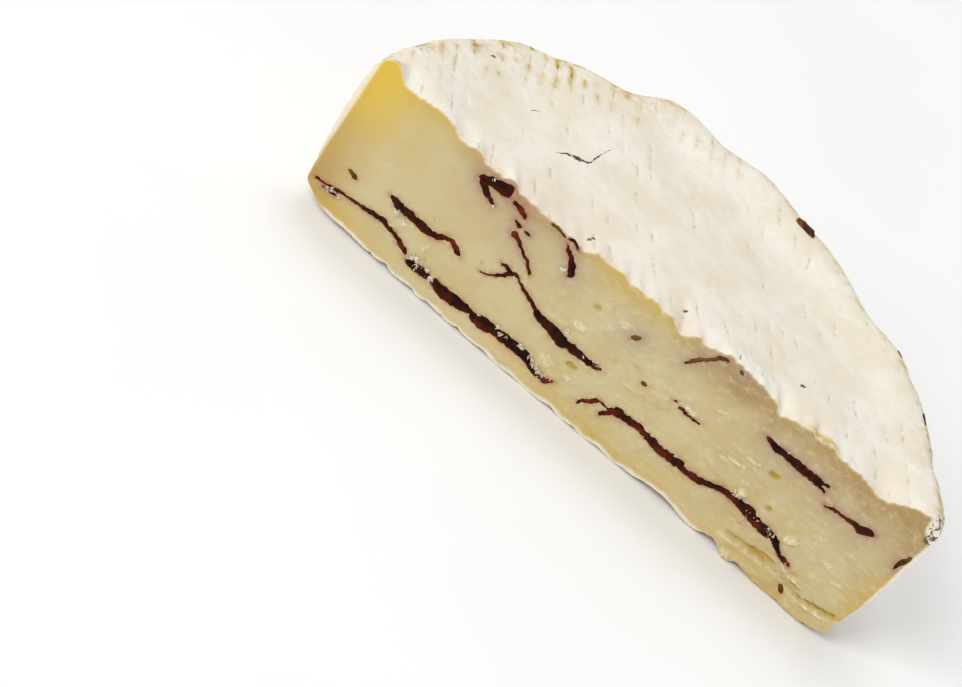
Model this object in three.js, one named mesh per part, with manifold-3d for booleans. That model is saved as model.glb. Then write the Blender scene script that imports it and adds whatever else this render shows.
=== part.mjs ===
// Half of a soft-ripened cheese wheel, cut through its middle, with dark slices of filling laid in the paste.
// Millimetres, +Z up. The wheel lies on its flat base and its cut face looks along -Y.
// Shapes are worked out in wheel coordinates: x along the cut, y from the cut into the cheese, z up.
import * as THREE from "three";
import { mergeVertices } from "three/addons/utils/BufferGeometryUtils.js";
import Module from "manifold-3d";

// Driving dimensions of the wheel
const WHEEL_RADIUS = 58.4; // plain rim radius at the top shoulder, before the swells below
const WHEEL_HEIGHT = 27.9; // base to the middle of the top face
const CUT_OFFSET = 29.6; // from the cut plane to the middle of the half's depth, where the origin is
const RIM_LIFT = 2.2; // the top face rises this much towards its shoulder
const RIM_LIFT_WIDTH = 7; // over this distance from the rim
const SHOULDER_IN = 3.4; // the top shoulder's rounding, measured inwards
const SHOULDER_DOWN = 2.8; // and downwards
const SIDE_LEAN = 2.2; // the side wall leans in this much from shoulder to base
const SIDE_BULGE = 0.7; // and is crowned outwards by this much at mid height
const FOOT_IN = 6; // the base corner's rounding inwards, averaged round the rim
const FOOT_UP = 3.8; // and upwards
const FOOT_VARIES = 0.3; // the base corner is softer at the left end and tighter at the right by this share
const FOOT_SWELL = 0.35; // share of the rim's swells that is left at the base
const SWELL_RISE = 0.25; // the top face rises by this share of a swell of the rim

// Uneven rim: each swell is centred at an angle from +X, in degrees, and lifts the rim radius there
const RIM_SWELLS = [
  { at: 0, lift: 1.4, spread: 8 },
  { at: 18, lift: -1.2, spread: 6 },
  { at: 29, lift: -1.8, spread: 11 },
  { at: 41, lift: -0.9, spread: 6 },
  { at: 57, lift: -2.6, spread: 9 },
  { at: 88, lift: 1.9, spread: 6 },
  { at: 106, lift: 3.3, spread: 7 },
  { at: 117, lift: -0.9, spread: 6 },
  { at: 134, lift: -0.7, spread: 4 },
  { at: 140, lift: 0.7, spread: 6 },
  { at: 180, lift: 0.9, spread: 10 },
];

// Uneven top face: low swells and dips, placed in the wheel's own plan
const TOP_SWELLS = [
  { x: 17, y: 0, lift: 1.3, spread: 7 },
  { x: -46, y: 2, lift: 0.9, spread: 5 },
  { x: -19, y: 4, lift: -1.0, spread: 10 },
  { x: 36, y: 8, lift: 0.6, spread: 9 },
  { x: -24, y: 34, lift: 0.7, spread: 11 },
  { x: 14, y: 36, lift: -0.6, spread: 12 },
];

// The knife's cut: a slow bow across the face, and a torn ledge of paste along the lower right edge
const CUT_BOW = 0.3;
const CUT_BOW_LENGTH = 17;
const LEDGE = { from: 33, top: 4.4, proud: 0.9, edge: 1.2 };
const CUT_STEP_X = 2.2; // spacing of the cut face's relief points
const CUT_STEP_Z = 1.5;

// Mesh density of the wheel
const RIM_STEPS = 144;
const TOP_RINGS = 9;
const CORNER_STEPS = 5;
const SIDE_STEPS = 4;

// The slices of filling
const SLICE_PROUD = 0.25; // a slice stands out of the cut face by this much
const SLICE_CLEARANCE = 0.3; // free space between a slice and the pocket that it lies in
const SLICE_STEP = 1.9; // spacing of the points along a slice
const BACK_MARGIN = 8; // cheese left between a slice and the rim behind it
const BACK_TAPER = 0.5; // thickness left at a slice's far edge
const FRONT_BAND = 1.2; // depth of the stretch just behind the cut face

// Each slice: its line on the cut face as [x, z, thickness] from end to end, and how deep it runs at most
const SLICES = {
  slice_low_left: {
    line: [[-55.0, 4.7, 0.5], [-49.5, 6.1, 0.7], [-43.0, 6.7, 1.0], [-39.6, 6.2, 0.7], [-36.9, 5.5, 0.6]],
    depth: 24,
  },
  slice_low_middle: {
    line: [[-35.4, 4.2, 1.2], [-31.3, 4.3, 1.6], [-27.0, 4.0, 2.2], [-21.3, 4.3, 1.2], [-18.6, 4.4, 2.1],
      [-11.0, 4.7, 1.9], [-7.6, 3.7, 1.0], [-4.5, 3.9, 0.5]],
    depth: 46,
  },
  slice_mid_left: {
    line: [[-43.9, 11.1, 0.9], [-41.0, 10.8, 1.6], [-35.2, 10.8, 1.3], [-32.1, 12.0, 0.8], [-28.8, 11.0, 0.5]],
    depth: 34,
  },
  slice_upper_tip: { line: [[-27.7, 24.9, 0.7], [-26.2, 24.6, 1.0], [-24.6, 23.8, 0.6]], depth: 8 },
  slice_upper_thread: { line: [[-24.8, 20.7, 0.9], [-22.2, 19.4, 0.6], [-18.1, 16.6, 0.5]], depth: 18 },
  slice_centre: {
    line: [[-24.8, 11.3, 0.5], [-22.2, 13.0, 0.8], [-20.2, 14.9, 0.9], [-17.0, 13.8, 0.7], [-13.4, 12.1, 0.9],
      [-9.4, 11.4, 2.0], [-5.2, 11.4, 1.6], [0.7, 11.8, 0.5]],
    depth: 44,
  },
  slice_upper_middle: { line: [[-16.5, 25.0, 0.6], [-14.6, 23.6, 1.0], [-13.2, 21.2, 1.0]], depth: 14 },
  slice_low_right: {
    line: [[1.1, 4.3, 0.5], [3.5, 6.6, 0.8], [9.0, 7.9, 1.5], [17.0, 7.6, 1.7], [23.8, 7.7, 1.3],
      [28.2, 9.3, 1.4], [34.0, 9.1, 2.0], [39.6, 8.6, 1.6], [44.6, 6.6, 0.6]],
    depth: 46,
  },
  slice_rind_thread: { line: [[10.0, 22.9, 0.5], [12.4, 25.4, 0.7], [14.4, 27.2, 0.6]], depth: 12 },
  slice_short: { line: [[14.2, 15.7, 0.5], [16.4, 15.7, 0.6], [18.7, 15.7, 0.5]], depth: 10 },
  slice_upper_right: {
    line: [[28.1, 22.1, 0.6], [31.4, 21.8, 1.5], [37.2, 21.8, 1.5], [41.2, 22.0, 0.8]],
    depth: 30,
  },
  slice_right: {
    line: [[42.5, 19.4, 0.6], [46.4, 20.0, 0.6], [49.8, 20.4, 1.6], [51.7, 20.9, 0.8]],
    depth: 22,
  },
  fleck_left: { line: [[-51.8, 9.7, 0.6], [-50.8, 9.6, 0.8], [-49.8, 9.5, 0.5]], depth: 5 },
};

// A slice folded back on itself under the top rind: its two arms meet at the fold on the left
const FOLDED_SLICE = {
  arms: [
    [[-34.6, 24.3, 0.9], [-32.0, 25.0, 1.8], [-29.3, 25.5, 1.9]],
    [[-34.6, 24.3, 0.9], [-32.0, 23.2, 1.4], [-29.8, 22.0, 0.6]],
  ],
  depth: 16,
};

// A sliver of filling that breaks through the rind at the back, inside the rim, and leans outwards
const RIM_SLIVER = { at: 77, inside: 4, lean: 72, length: 4.2, thickness: 1, sunk: 3.6, proud: 0.8 };

// Finishes
const RIND = { color: 0xebe4d3, roughness: 0.85, metalness: 0 };
const FILLING = { color: 0x341803, roughness: 0.4, metalness: 0 };
const DRIED_FILLING = { color: 0x5c371d, roughness: 0.6, metalness: 0 };

const wasm = await Module();
wasm.setup();

const bell = (distance, spread) => Math.exp(-((distance / spread) ** 2));
const smooth = (low, high, value) => THREE.MathUtils.smoothstep(value, low, high);

// Rim radius at the top shoulder, seen from above at an angle in radians
function rimRadius(angle) {
  const degrees = THREE.MathUtils.euclideanModulo(THREE.MathUtils.radToDeg(angle), 360);
  const lifts = RIM_SWELLS.map(({ at, lift, spread }) => {
    const apart = Math.abs(degrees - at);
    return lift * bell(Math.min(apart, 360 - apart), spread);
  });
  return lifts.reduce((total, lift) => total + lift, WHEEL_RADIUS);
}

// Height of the top face over a point of the wheel's plan
function topHeight(x, y) {
  const rim = rimRadius(Math.atan2(y, x));
  const fromShoulder = Math.max(rim - Math.hypot(x, y) - SHOULDER_IN, 0);
  const rimLift = RIM_LIFT + SWELL_RISE * (rim - WHEEL_RADIUS);
  const dish = rimLift * bell(fromShoulder, RIM_LIFT_WIDTH);
  const lifts = TOP_SWELLS.map((swell) => {
    const away = Math.hypot(x - swell.x, y - swell.y);
    return swell.lift * bell(away, swell.spread);
  });
  return lifts.reduce((total, lift) => total + lift, WHEEL_HEIGHT + dish);
}

// How far the cut face lies behind the cut plane at a point of the face
function cutDepth(x, z) {
  const bow = CUT_BOW * Math.sin(x / CUT_BOW_LENGTH) * Math.cos(z / CUT_BOW_LENGTH);
  const along = smooth(LEDGE.from - LEDGE.edge, LEDGE.from + LEDGE.edge, x);
  const below = 1 - smooth(LEDGE.top - LEDGE.edge, LEDGE.top, z);
  return bow - LEDGE.proud * along * below;
}

// The wheel's section at one angle, from the base's middle out, up the side and back to the top's middle
function sectionAt(angle) {
  const rim = rimRadius(angle);
  const foot = 1 - FOOT_VARIES * Math.cos(angle);
  const footIn = FOOT_IN * foot;
  const footUp = FOOT_UP * foot;
  const base = WHEEL_RADIUS + FOOT_SWELL * (rim - WHEEL_RADIUS) - SIDE_LEAN;
  const inner = rim - SHOULDER_IN;
  const shoulder = topHeight(inner * Math.cos(angle), inner * Math.sin(angle));
  const points = [new THREE.Vector2(base - footIn, 0)];
  for (let i = 1; i <= CORNER_STEPS; i++) {
    const turn = (i / CORNER_STEPS) * (Math.PI / 2);
    points.push(new THREE.Vector2(base - footIn + footIn * Math.sin(turn), footUp * (1 - Math.cos(turn))));
  }
  for (let i = 1; i < SIDE_STEPS; i++) {
    const share = i / SIDE_STEPS;
    const bulge = SIDE_BULGE * Math.sin(Math.PI * share);
    const height = THREE.MathUtils.lerp(footUp, shoulder - SHOULDER_DOWN, share);
    points.push(new THREE.Vector2(THREE.MathUtils.lerp(base, rim, share) + bulge, height));
  }
  for (let i = 0; i <= CORNER_STEPS; i++) {
    const turn = (i / CORNER_STEPS) * (Math.PI / 2);
    const out = inner + SHOULDER_IN * Math.cos(turn);
    points.push(new THREE.Vector2(out, shoulder - SHOULDER_DOWN * (1 - Math.sin(turn))));
  }
  for (let i = 1; i < TOP_RINGS; i++) {
    const radius = inner * (1 - i / TOP_RINGS);
    points.push(new THREE.Vector2(radius, topHeight(radius * Math.cos(angle), radius * Math.sin(angle))));
  }
  return points;
}

// A closed mesh from a list of points and a list of triangles
function meshGeometry(points, triangles) {
  const geometry = new THREE.BufferGeometry().setFromPoints(points);
  return geometry.setIndex(triangles.flat());
}

// The whole wheel, before the cut: a section for each step round the rim, closed at the middles of base and top
function wholeWheel() {
  const sections = Array.from({ length: RIM_STEPS }, (_, j) => sectionAt((j / RIM_STEPS) * 2 * Math.PI));
  const count = sections[0].length;
  const points = sections.flatMap((section, j) => {
    const angle = (j / RIM_STEPS) * 2 * Math.PI;
    return section.map((p) => new THREE.Vector3(p.x * Math.cos(angle), p.x * Math.sin(angle), p.y));
  });
  const baseMiddle = points.push(new THREE.Vector3(0, 0, 0)) - 1;
  const topMiddle = points.push(new THREE.Vector3(0, 0, topHeight(0, 0))) - 1;
  const triangles = [];
  for (let j = 0; j < RIM_STEPS; j++) {
    const here = j * count;
    const next = ((j + 1) % RIM_STEPS) * count;
    triangles.push([baseMiddle, next, here]);
    for (let i = 0; i < count - 1; i++) {
      triangles.push([here + i, next + i, next + i + 1], [here + i, next + i + 1, here + i + 1]);
    }
    triangles.push([here + count - 1, next + count - 1, topMiddle]);
  }
  return meshGeometry(points, triangles);
}

// Everything behind the knife's cut: a block whose front face carries the cut's relief
function behindTheCut() {
  const reach = WHEEL_RADIUS + 12;
  const floor = -4;
  const ceiling = WHEEL_HEIGHT + 12;
  const columns = Math.round((2 * reach) / CUT_STEP_X);
  const rows = Math.round((ceiling - floor) / CUT_STEP_Z);
  const geometry = new THREE.BoxGeometry(2 * reach, reach, ceiling - floor, columns, 1, rows);
  geometry.translate(0, reach / 2, (ceiling + floor) / 2);
  const position = geometry.getAttribute("position");
  for (let i = 0; i < position.count; i++) {
    if (position.getY(i) < reach / 2) {
      position.setY(i, cutDepth(position.getX(i), position.getZ(i)));
    }
  }
  return geometry;
}

// Free depth behind a place on the cut, up to the margin in front of the rim
function depthBehind(x) {
  return Math.sqrt(Math.max((WHEEL_RADIUS - SIDE_LEAN) ** 2 - x ** 2, 0)) - BACK_MARGIN;
}

// A slab along a line on the cut face, as deep as asked where the rim allows.
// A slice stands a little proud of the cut. A pocket is larger all round and open at the front.
function slab(line, depth, isPocket) {
  const grow = isPocket ? SLICE_CLEARANCE : 0;
  const curve = new THREE.CatmullRomCurve3(line.map(([x, z, thickness]) => new THREE.Vector3(x, thickness, z)));
  const steps = Math.max(3, Math.round(curve.getLength() / SLICE_STEP));
  const stations = Array.from({ length: steps + 1 }, (_, i) => {
    const share = i / steps;
    const point = curve.getPointAt(share);
    const tangent = curve.getTangentAt(share).setY(0).normalize();
    const end = i === 0 ? -grow : i === steps ? grow : 0;
    point.addScaledVector(new THREE.Vector3(tangent.x, 0, tangent.z), end);
    const across = new THREE.Vector3(-tangent.z, 0, tangent.x);
    return { x: point.x, z: point.z, half: point.y / 2 + grow, across };
  });
  const front = (x, z) => (isPocket ? -2 * LEDGE.proud - SLICE_PROUD : cutDepth(x, z) - SLICE_PROUD);
  const layers = [
    { y: front, taper: 1 },
    { y: () => FRONT_BAND, taper: 1 },
    { y: (x) => Math.max(Math.min(depth, depthBehind(x)), 2 * FRONT_BAND) + grow, taper: BACK_TAPER },
  ];
  const points = layers.flatMap(({ y, taper }) =>
    [1, -1].flatMap((side) =>
      stations.map(({ x, z, half, across }) => {
        const away = side * (grow + (half - grow) * taper);
        return new THREE.Vector3(x + across.x * away, y(x, z), z + across.z * away);
      }),
    ),
  );
  const count = stations.length;
  const at = (layer, side, i) => (2 * layer + side) * count + i;
  const triangles = [];
  const quad = (a, b, c, d) => triangles.push([a, b, c], [a, c, d]);
  const last = layers.length - 1;
  for (let i = 0; i < steps; i++) {
    quad(at(0, 0, i), at(0, 1, i), at(0, 1, i + 1), at(0, 0, i + 1));
    quad(at(last, 0, i), at(last, 0, i + 1), at(last, 1, i + 1), at(last, 1, i));
    for (let k = 0; k < last; k++) {
      quad(at(k, 0, i), at(k, 0, i + 1), at(k + 1, 0, i + 1), at(k + 1, 0, i));
      quad(at(k, 1, i), at(k + 1, 1, i), at(k + 1, 1, i + 1), at(k, 1, i + 1));
    }
  }
  for (let k = 0; k < last; k++) {
    quad(at(k, 0, 0), at(k + 1, 0, 0), at(k + 1, 1, 0), at(k, 1, 0));
    quad(at(k, 0, steps), at(k, 1, steps), at(k + 1, 1, steps), at(k + 1, 0, steps));
  }
  return meshGeometry(points, triangles);
}

// The sliver by the rim, or the pocket that it sits in, as a leaning block set into the top face
function rimSliver(isPocket) {
  const grow = isPocket ? 2 * SLICE_CLEARANCE : 0;
  const { at, inside, lean, length, thickness, sunk, proud } = RIM_SLIVER;
  const angle = THREE.MathUtils.degToRad(at);
  const radius = rimRadius(angle) - inside;
  const height = topHeight(radius * Math.cos(angle), radius * Math.sin(angle));
  const outer = isPocket ? proud + SHOULDER_IN : proud;
  const geometry = new THREE.BoxGeometry(sunk + outer + grow / 2, length + grow, thickness + grow, 2, 3, 1);
  geometry.translate((outer - sunk - grow / 2) / 2, 0, 0).rotateY(-THREE.MathUtils.degToRad(lean));
  return geometry.translate(radius, 0, height).rotateZ(angle);
}

// Between three.js geometry and solids that can be joined and cut
function solidOf(geometry) {
  const bare = geometry.clone();
  bare.deleteAttribute("normal");
  bare.deleteAttribute("uv");
  const merged = mergeVertices(bare);
  const triVerts = new Uint32Array(merged.index.array);
  const vertProperties = new Float32Array(merged.getAttribute("position").array);
  return new wasm.Manifold(new wasm.Mesh({ numProp: 3, vertProperties, triVerts }));
}

function geometryOf(solid) {
  const { vertProperties, triVerts } = solid.getMesh();
  const geometry = new THREE.BufferGeometry();
  geometry.setAttribute("position", new THREE.BufferAttribute(new Float32Array(vertProperties), 3));
  geometry.setIndex(new THREE.BufferAttribute(new Uint32Array(triVerts), 1));
  geometry.computeVertexNormals();
  return geometry;
}

// Both arms of the folded slice, or of its pocket, as one solid
function foldedSlice(isPocket) {
  const arms = FOLDED_SLICE.arms.map((line) => solidOf(slab(line, FOLDED_SLICE.depth, isPocket)));
  return arms.reduce((joined, arm) => joined.add(arm));
}

// The cheese: half of the wheel, less a pocket for each piece of filling
function cheeseHalf() {
  const half = solidOf(wholeWheel()).intersect(solidOf(behindTheCut()));
  const pockets = Object.values(SLICES).map(({ line, depth }) => solidOf(slab(line, depth, true)));
  pockets.push(foldedSlice(true), solidOf(rimSliver(true)));
  return pockets.reduce((left, pocket) => left.subtract(pocket), half);
}

// One named piece, with the middle of the half's depth at the origin
function piece(name, geometry, finish) {
  const mesh = new THREE.Mesh(geometry, new THREE.MeshStandardMaterial(finish));
  mesh.name = name;
  mesh.position.y = -CUT_OFFSET;
  return mesh;
}

const camembertHalf = new THREE.Group();
camembertHalf.name = "camembert_half";
camembertHalf.add(piece("cheese_half", geometryOf(cheeseHalf()), RIND));
for (const [name, { line, depth }] of Object.entries(SLICES)) {
  camembertHalf.add(piece(name, slab(line, depth, false), FILLING));
}
camembertHalf.add(piece("slice_folded", geometryOf(foldedSlice(false)), FILLING));
camembertHalf.add(piece("rim_sliver", rimSliver(false), DRIED_FILLING));

export default camembertHalf;
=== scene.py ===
"""Half of a camembert wheel on a pale studio floor, with dark slices of filling in its cut face.

Shapes are worked out in millimetres, in wheel coordinates: x along the cut, y from the cut into the cheese
and z up from the base. They are placed in metres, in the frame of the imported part.
"""

from __future__ import annotations

import logging
import math
from dataclasses import dataclass
from enum import Enum
from typing import Any, Callable, Mapping, Sequence

import bpy
import numpy as np
from mathutils import Matrix, Vector
from mathutils.geometry import delaunay_2d_cdt

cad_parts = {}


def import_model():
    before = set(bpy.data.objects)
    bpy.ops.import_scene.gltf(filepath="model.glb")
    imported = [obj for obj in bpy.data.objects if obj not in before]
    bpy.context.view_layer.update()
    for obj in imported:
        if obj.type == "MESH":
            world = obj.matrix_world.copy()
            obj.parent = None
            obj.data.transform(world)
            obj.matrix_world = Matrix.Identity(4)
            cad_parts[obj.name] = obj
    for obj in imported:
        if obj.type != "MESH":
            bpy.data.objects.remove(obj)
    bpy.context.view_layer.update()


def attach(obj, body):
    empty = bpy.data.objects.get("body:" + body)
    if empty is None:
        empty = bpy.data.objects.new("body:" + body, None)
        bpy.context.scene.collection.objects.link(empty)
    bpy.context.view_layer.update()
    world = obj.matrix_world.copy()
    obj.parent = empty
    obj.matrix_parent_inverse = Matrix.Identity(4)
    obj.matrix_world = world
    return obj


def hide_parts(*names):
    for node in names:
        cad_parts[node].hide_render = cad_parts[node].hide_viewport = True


LOG = logging.getLogger("camembert")

MM = 0.001
CUT_OFFSET = 29.6  # from the cut plane to the part's origin, in millimetres
BODY = "root"
CREASE_ANGLE = 50.0  # edges of small pieces that bend more than this are sharp, in degrees
CHUNK = 4000  # points handled at once, to spare memory

FINE_DETAIL = 4.0  # octaves of noise in colours and grain
GLOSS_DETAIL = 2.0  # octaves of noise in roughness

NOISE_GAIN = 1.6  # brings the gradient noise to about -1 to 1
PLANE_LEVEL = 0.37  # where a plane cuts through the noise
HASH_STEPS = np.array([73856093, 19349663, 83492791])  # a large prime for each axis of the lattice
HASH_SEED = 7919
HASH_SLOPE = 104729
HASH_MIX = (2654435761, 2246822519)
HASH_WORD = 0xFFFFFFFF
HASH_HALF = 2147483648.0

PATCH_SHIFT = 0.14  # how far points inside a patch are shifted, as a share of their spacing
PATCH_CLEAR = 0.62  # how far they keep from its outline, as a share of their spacing
CDT_INSIDE = 1  # keeps only the triangles inside the outline
CDT_EPSILON = 1e-7

Array = np.ndarray
Shell = tuple[Array, list[list[int]]]  # points and the faces over them


class Slot(Enum):
    """The material slots of the record."""

    CHEESE = "cheese"
    FILLING = "filling"
    DRIED = "dried_filling"


class Face(Enum):
    """The two skins of the cheese, by material index."""

    RIND = 0
    PASTE = 1


# Numbers and noise


def bell(distance: Array | float, spread: float) -> Array:
    """Returns a smooth hump: 1 in the middle and near 0 at twice the spread."""
    return np.exp(-((np.asarray(distance) / spread) ** 2))


def smooth(low: Array | float, high: Array | float, value: Array | float) -> Array:
    """Returns a smooth step from 0 at low to 1 at high."""
    share = np.clip((np.asarray(value, float) - low) / (high - low), 0.0, 1.0)
    return share * share * (3.0 - 2.0 * share)


def noise(points: Array, size: float | Sequence[float], seed: int) -> Array:
    """Smooth gradient noise, the same on every run.

    Args:
        points: N x 3 points in millimetres.
        size: size of the lumps in millimetres, one number or one for each axis.
        seed: picks another pattern.

    Returns:
        N values, about -1 to 1.
    """
    grid = np.asarray(points, float) / np.asarray(size, float)
    cell = np.floor(grid).astype(np.int64)
    part = grid - cell
    fade = part**3 * (part * (part * 6.0 - 15.0) + 10.0)
    total = np.zeros(len(grid))
    for corner in np.ndindex(2, 2, 2):
        lattice = (cell + corner) @ HASH_STEPS + seed * HASH_SEED
        weight = np.prod(np.where(corner, fade, 1.0 - fade), axis=1)
        slope = np.zeros(len(grid))
        for axis in range(3):
            mixed = (lattice + axis * HASH_SLOPE) * HASH_MIX[0] & HASH_WORD
            mixed = (mixed ^ (mixed >> 15)) * HASH_MIX[1] & HASH_WORD
            mixed = mixed ^ (mixed >> 13)
            slope += (mixed / HASH_HALF - 1.0) * (part[:, axis] - corner[axis])
        total += weight * slope
    return NOISE_GAIN * total


def flat_noise(a: Array, b: Array | float, size: float | Sequence[float], seed: int) -> Array:
    """Smooth gradient noise over a plane.

    Args:
        a: the points' first coordinate in millimetres.
        b: their second coordinate, an array of the same shape or one number.
        size: size of the lumps in millimetres, one number or one for each coordinate.
        seed: picks another pattern.

    Returns:
        Values in the points' shape, about -1 to 1.
    """
    a, b = np.broadcast_arrays(np.asarray(a, float), np.asarray(b, float))
    scale = np.broadcast_to(np.asarray(size, float), 2)
    flat = np.stack([a.ravel() / scale[0], b.ravel() / scale[1], np.full(a.size, PLANE_LEVEL)], axis=1)
    return noise(flat, 1.0, seed).reshape(a.shape)


def smooth_line(points: Sequence[Sequence[float]], step: float) -> Array:
    """A smooth curve through a few points, at even steps.

    Args:
        points: points to pass through.
        step: distance between the curve's points, measured in the first two columns.

    Returns:
        M x D points from the first to the last.
    """
    knot = np.array(points, float)
    reach = np.concatenate([[0.0], np.cumsum(np.hypot(*np.diff(knot[:, :2], axis=0).T))])
    slopes = np.gradient(knot, reach, axis=0)
    where = np.linspace(0.0, reach[-1], max(6, int(round(reach[-1] / step))) + 1)
    left = np.clip(np.searchsorted(reach, where, side="right") - 1, 0, len(reach) - 2)
    length = (reach[left + 1] - reach[left])[:, None]
    t = (where - reach[left])[:, None] / length
    ends = (2 * t**3 - 3 * t**2 + 1) * knot[left] + (3 * t**2 - 2 * t**3) * knot[left + 1]
    return ends + ((t**3 - 2 * t**2 + t) * slopes[left] + (t**3 - t**2) * slopes[left + 1]) * length


def unit_run(line: Array) -> Array:
    """Returns the direction of a line in its first two columns, at each of its points."""
    run = np.gradient(line[:, :2], axis=0)
    return run / np.maximum(np.linalg.norm(run, axis=1), 1e-9)[:, None]


# Meshes


def to_frame(points: Array) -> Array:
    """Returns wheel coordinates in millimetres as row-frame coordinates in metres."""
    return (np.asarray(points, float) - np.array([0.0, CUT_OFFSET, 0.0])) * MM


def make_object(name: str, points: Array, faces: Sequence[Sequence[int]]) -> bpy.types.Object:
    """Makes a smooth-shaded mesh object from wheel coordinates.

    Args:
        name: the object's name.
        points: N x 3 points in millimetres.
        faces: point numbers of each face.

    Returns:
        The new object, linked to the scene.
    """
    mesh = bpy.data.meshes.new(name)
    mesh.from_pydata(to_frame(points).tolist(), [], [list(map(int, face)) for face in faces])
    mesh.validate()
    mesh.shade_smooth()
    made = bpy.data.objects.new(name, mesh)
    bpy.context.scene.collection.objects.link(made)
    return made


def join(piece: bpy.types.Object, material: bpy.types.Material) -> bpy.types.Object:
    """Dresses a piece in a material, creases its edges and makes it part of the cheese.

    Args:
        piece: the piece's object.
        material: what it is made of.

    Returns:
        The same object.
    """
    piece.data.set_sharp_from_angle(angle=math.radians(CREASE_ANGLE))
    piece.data.materials.clear()
    piece.data.materials.append(material)
    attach(piece, BODY)
    return piece


def wheel_points(mesh: bpy.types.Mesh) -> Array:
    """Reads a mesh's vertices back.

    Args:
        mesh: a mesh in the row's frame.

    Returns:
        N x 3 points in wheel coordinates.
    """
    flat = np.zeros(len(mesh.vertices) * 3, np.float32)
    mesh.vertices.foreach_get("co", flat)
    return flat.reshape(-1, 3).astype(float) / MM + np.array([0.0, CUT_OFFSET, 0.0])


def store(mesh: bpy.types.Mesh, name: str, values: Array) -> None:
    """Keeps one number for each vertex under a name that materials read."""
    layer = mesh.attributes.new(name, "FLOAT", "POINT")
    layer.data.foreach_set("value", np.asarray(values, np.float32))


def skin(rings: Array) -> Shell:
    """A closed skin over a row of closed rings, with a fan at each end.

    Args:
        rings: R x K x 3 points, K round each ring.

    Returns:
        The points, and the faces pointing out.
    """
    count, around = rings.shape[:2]
    points = np.concatenate([rings.reshape(-1, 3), rings[[0, -1]].mean(axis=1)])
    number = np.arange(count * around).reshape(count, around)
    after = np.roll(number, -1, axis=1)
    faces = np.stack([number[:-1], after[:-1], after[1:], number[1:]], axis=-1).reshape(-1, 4).tolist()
    faces += [[count * around, b, a] for a, b in zip(number[0], after[0])]
    faces += [[count * around + 1, a, b] for a, b in zip(number[-1], after[-1])]
    corners = points[np.array([face[:3] for face in faces])]
    volume = np.einsum("ij,ij->", corners[:, 0], np.cross(corners[:, 1], corners[:, 2]))
    return points, faces if volume > 0 else [face[::-1] for face in faces]


def merged(parts: Sequence[Shell]) -> Shell:
    """Puts several skins into one.

    Args:
        parts: the skins.

    Returns:
        All their points, and their faces numbered over them.
    """
    points, faces, first = [], [], 0
    for part_points, part_faces in parts:
        points.append(part_points)
        faces += [[corner + first for corner in face] for face in part_faces]
        first += len(part_points)
    return np.concatenate(points), faces


def combine(base: bpy.types.Object, tools: Sequence[bpy.types.Object], operation: str) -> None:
    """Joins tools to an object or cuts them out of it, and deletes them.

    Args:
        base: the object that changes.
        tools: closed meshes.
        operation: UNION or DIFFERENCE.
    """
    for tool in tools:
        change = base.modifiers.new("combine", "BOOLEAN")
        change.operation, change.object, change.solver = operation, tool, "MANIFOLD"
        evaluated = base.evaluated_get(bpy.context.evaluated_depsgraph_get())
        result = bpy.data.meshes.new_from_object(evaluated)
        base.modifiers.clear()
        base.data = result
        bpy.data.objects.remove(tool)


def fill_patch(loop: Array, spacing: float, seed: int) -> tuple[Array, Array]:
    """Fills a closed outline with nearly even triangles.

    Args:
        loop: N x 2 outline points, in order.
        spacing: distance between the points inside.
        seed: of the small shifts that keep the points from forming rows.

    Returns:
        The M x 2 points added inside, and triangles numbered over the outline's points and then those.
    """
    low, high = loop.min(axis=0), loop.max(axis=0)
    rows = np.arange(low[1], high[1], spacing * math.sqrt(3) / 2)
    grid = np.stack(np.meshgrid(np.arange(low[0], high[0] + spacing, spacing), rows), axis=-1)
    grid[1::2, :, 0] += spacing / 2
    shifts = np.random.default_rng(seed).uniform(-PATCH_SHIFT, PATCH_SHIFT, (grid.size // 2, 2))
    grid = grid.reshape(-1, 2) + shifts * spacing
    following = np.roll(loop, -1, axis=0)
    rise = following - loop
    kept = []
    for chunk in np.array_split(grid, max(1, len(grid) // CHUNK)):
        x, y = chunk[:, :1], chunk[:, 1:]
        crosses = (loop[:, 1] > y) != (following[:, 1] > y)
        with np.errstate(divide="ignore", invalid="ignore"):
            edge = loop[:, 0] + (y - loop[:, 1]) * rise[:, 0] / rise[:, 1]
        inside = (crosses & (x < edge)).sum(axis=1) % 2 == 1
        clear = np.hypot(x - loop[:, 0], y - loop[:, 1]).min(axis=1) > PATCH_CLEAR * spacing
        kept.append(chunk[inside & clear])
    inner = np.concatenate(kept)
    flat = np.concatenate([loop, inner])
    edges = [(i, (i + 1) % len(loop)) for i in range(len(loop))]
    vectors = [Vector(point) for point in flat.tolist()]
    _, _, faces, origins, _, _ = delaunay_2d_cdt(vectors, edges, [], CDT_INSIDE, CDT_EPSILON)
    source = np.array([origin[0] for origin in origins])
    triangles = source[np.array([face for face in faces if len(face) == 3])]
    one = flat[triangles[:, 1]] - flat[triangles[:, 0]]
    two = flat[triangles[:, 2]] - flat[triangles[:, 0]]
    turned = one[:, 0] * two[:, 1] - one[:, 1] * two[:, 0] < 0
    triangles[turned] = triangles[turned][:, ::-1]
    return inner, triangles


# Finishes


def linear(colour: str) -> tuple[float, float, float, float]:
    """Turns an sRGB colour into a linear one.

    Args:
        colour: a hex colour, such as #ebe4d3.

    Returns:
        Linear red, green, blue and alpha.
    """
    parts = [int(colour[i : i + 2], 16) / 255.0 for i in (1, 3, 5)]
    red, green, blue = (c / 12.92 if c <= 0.04045 else ((c + 0.055) / 1.055) ** 2.4 for c in parts)
    return red, green, blue, 1.0


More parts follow.
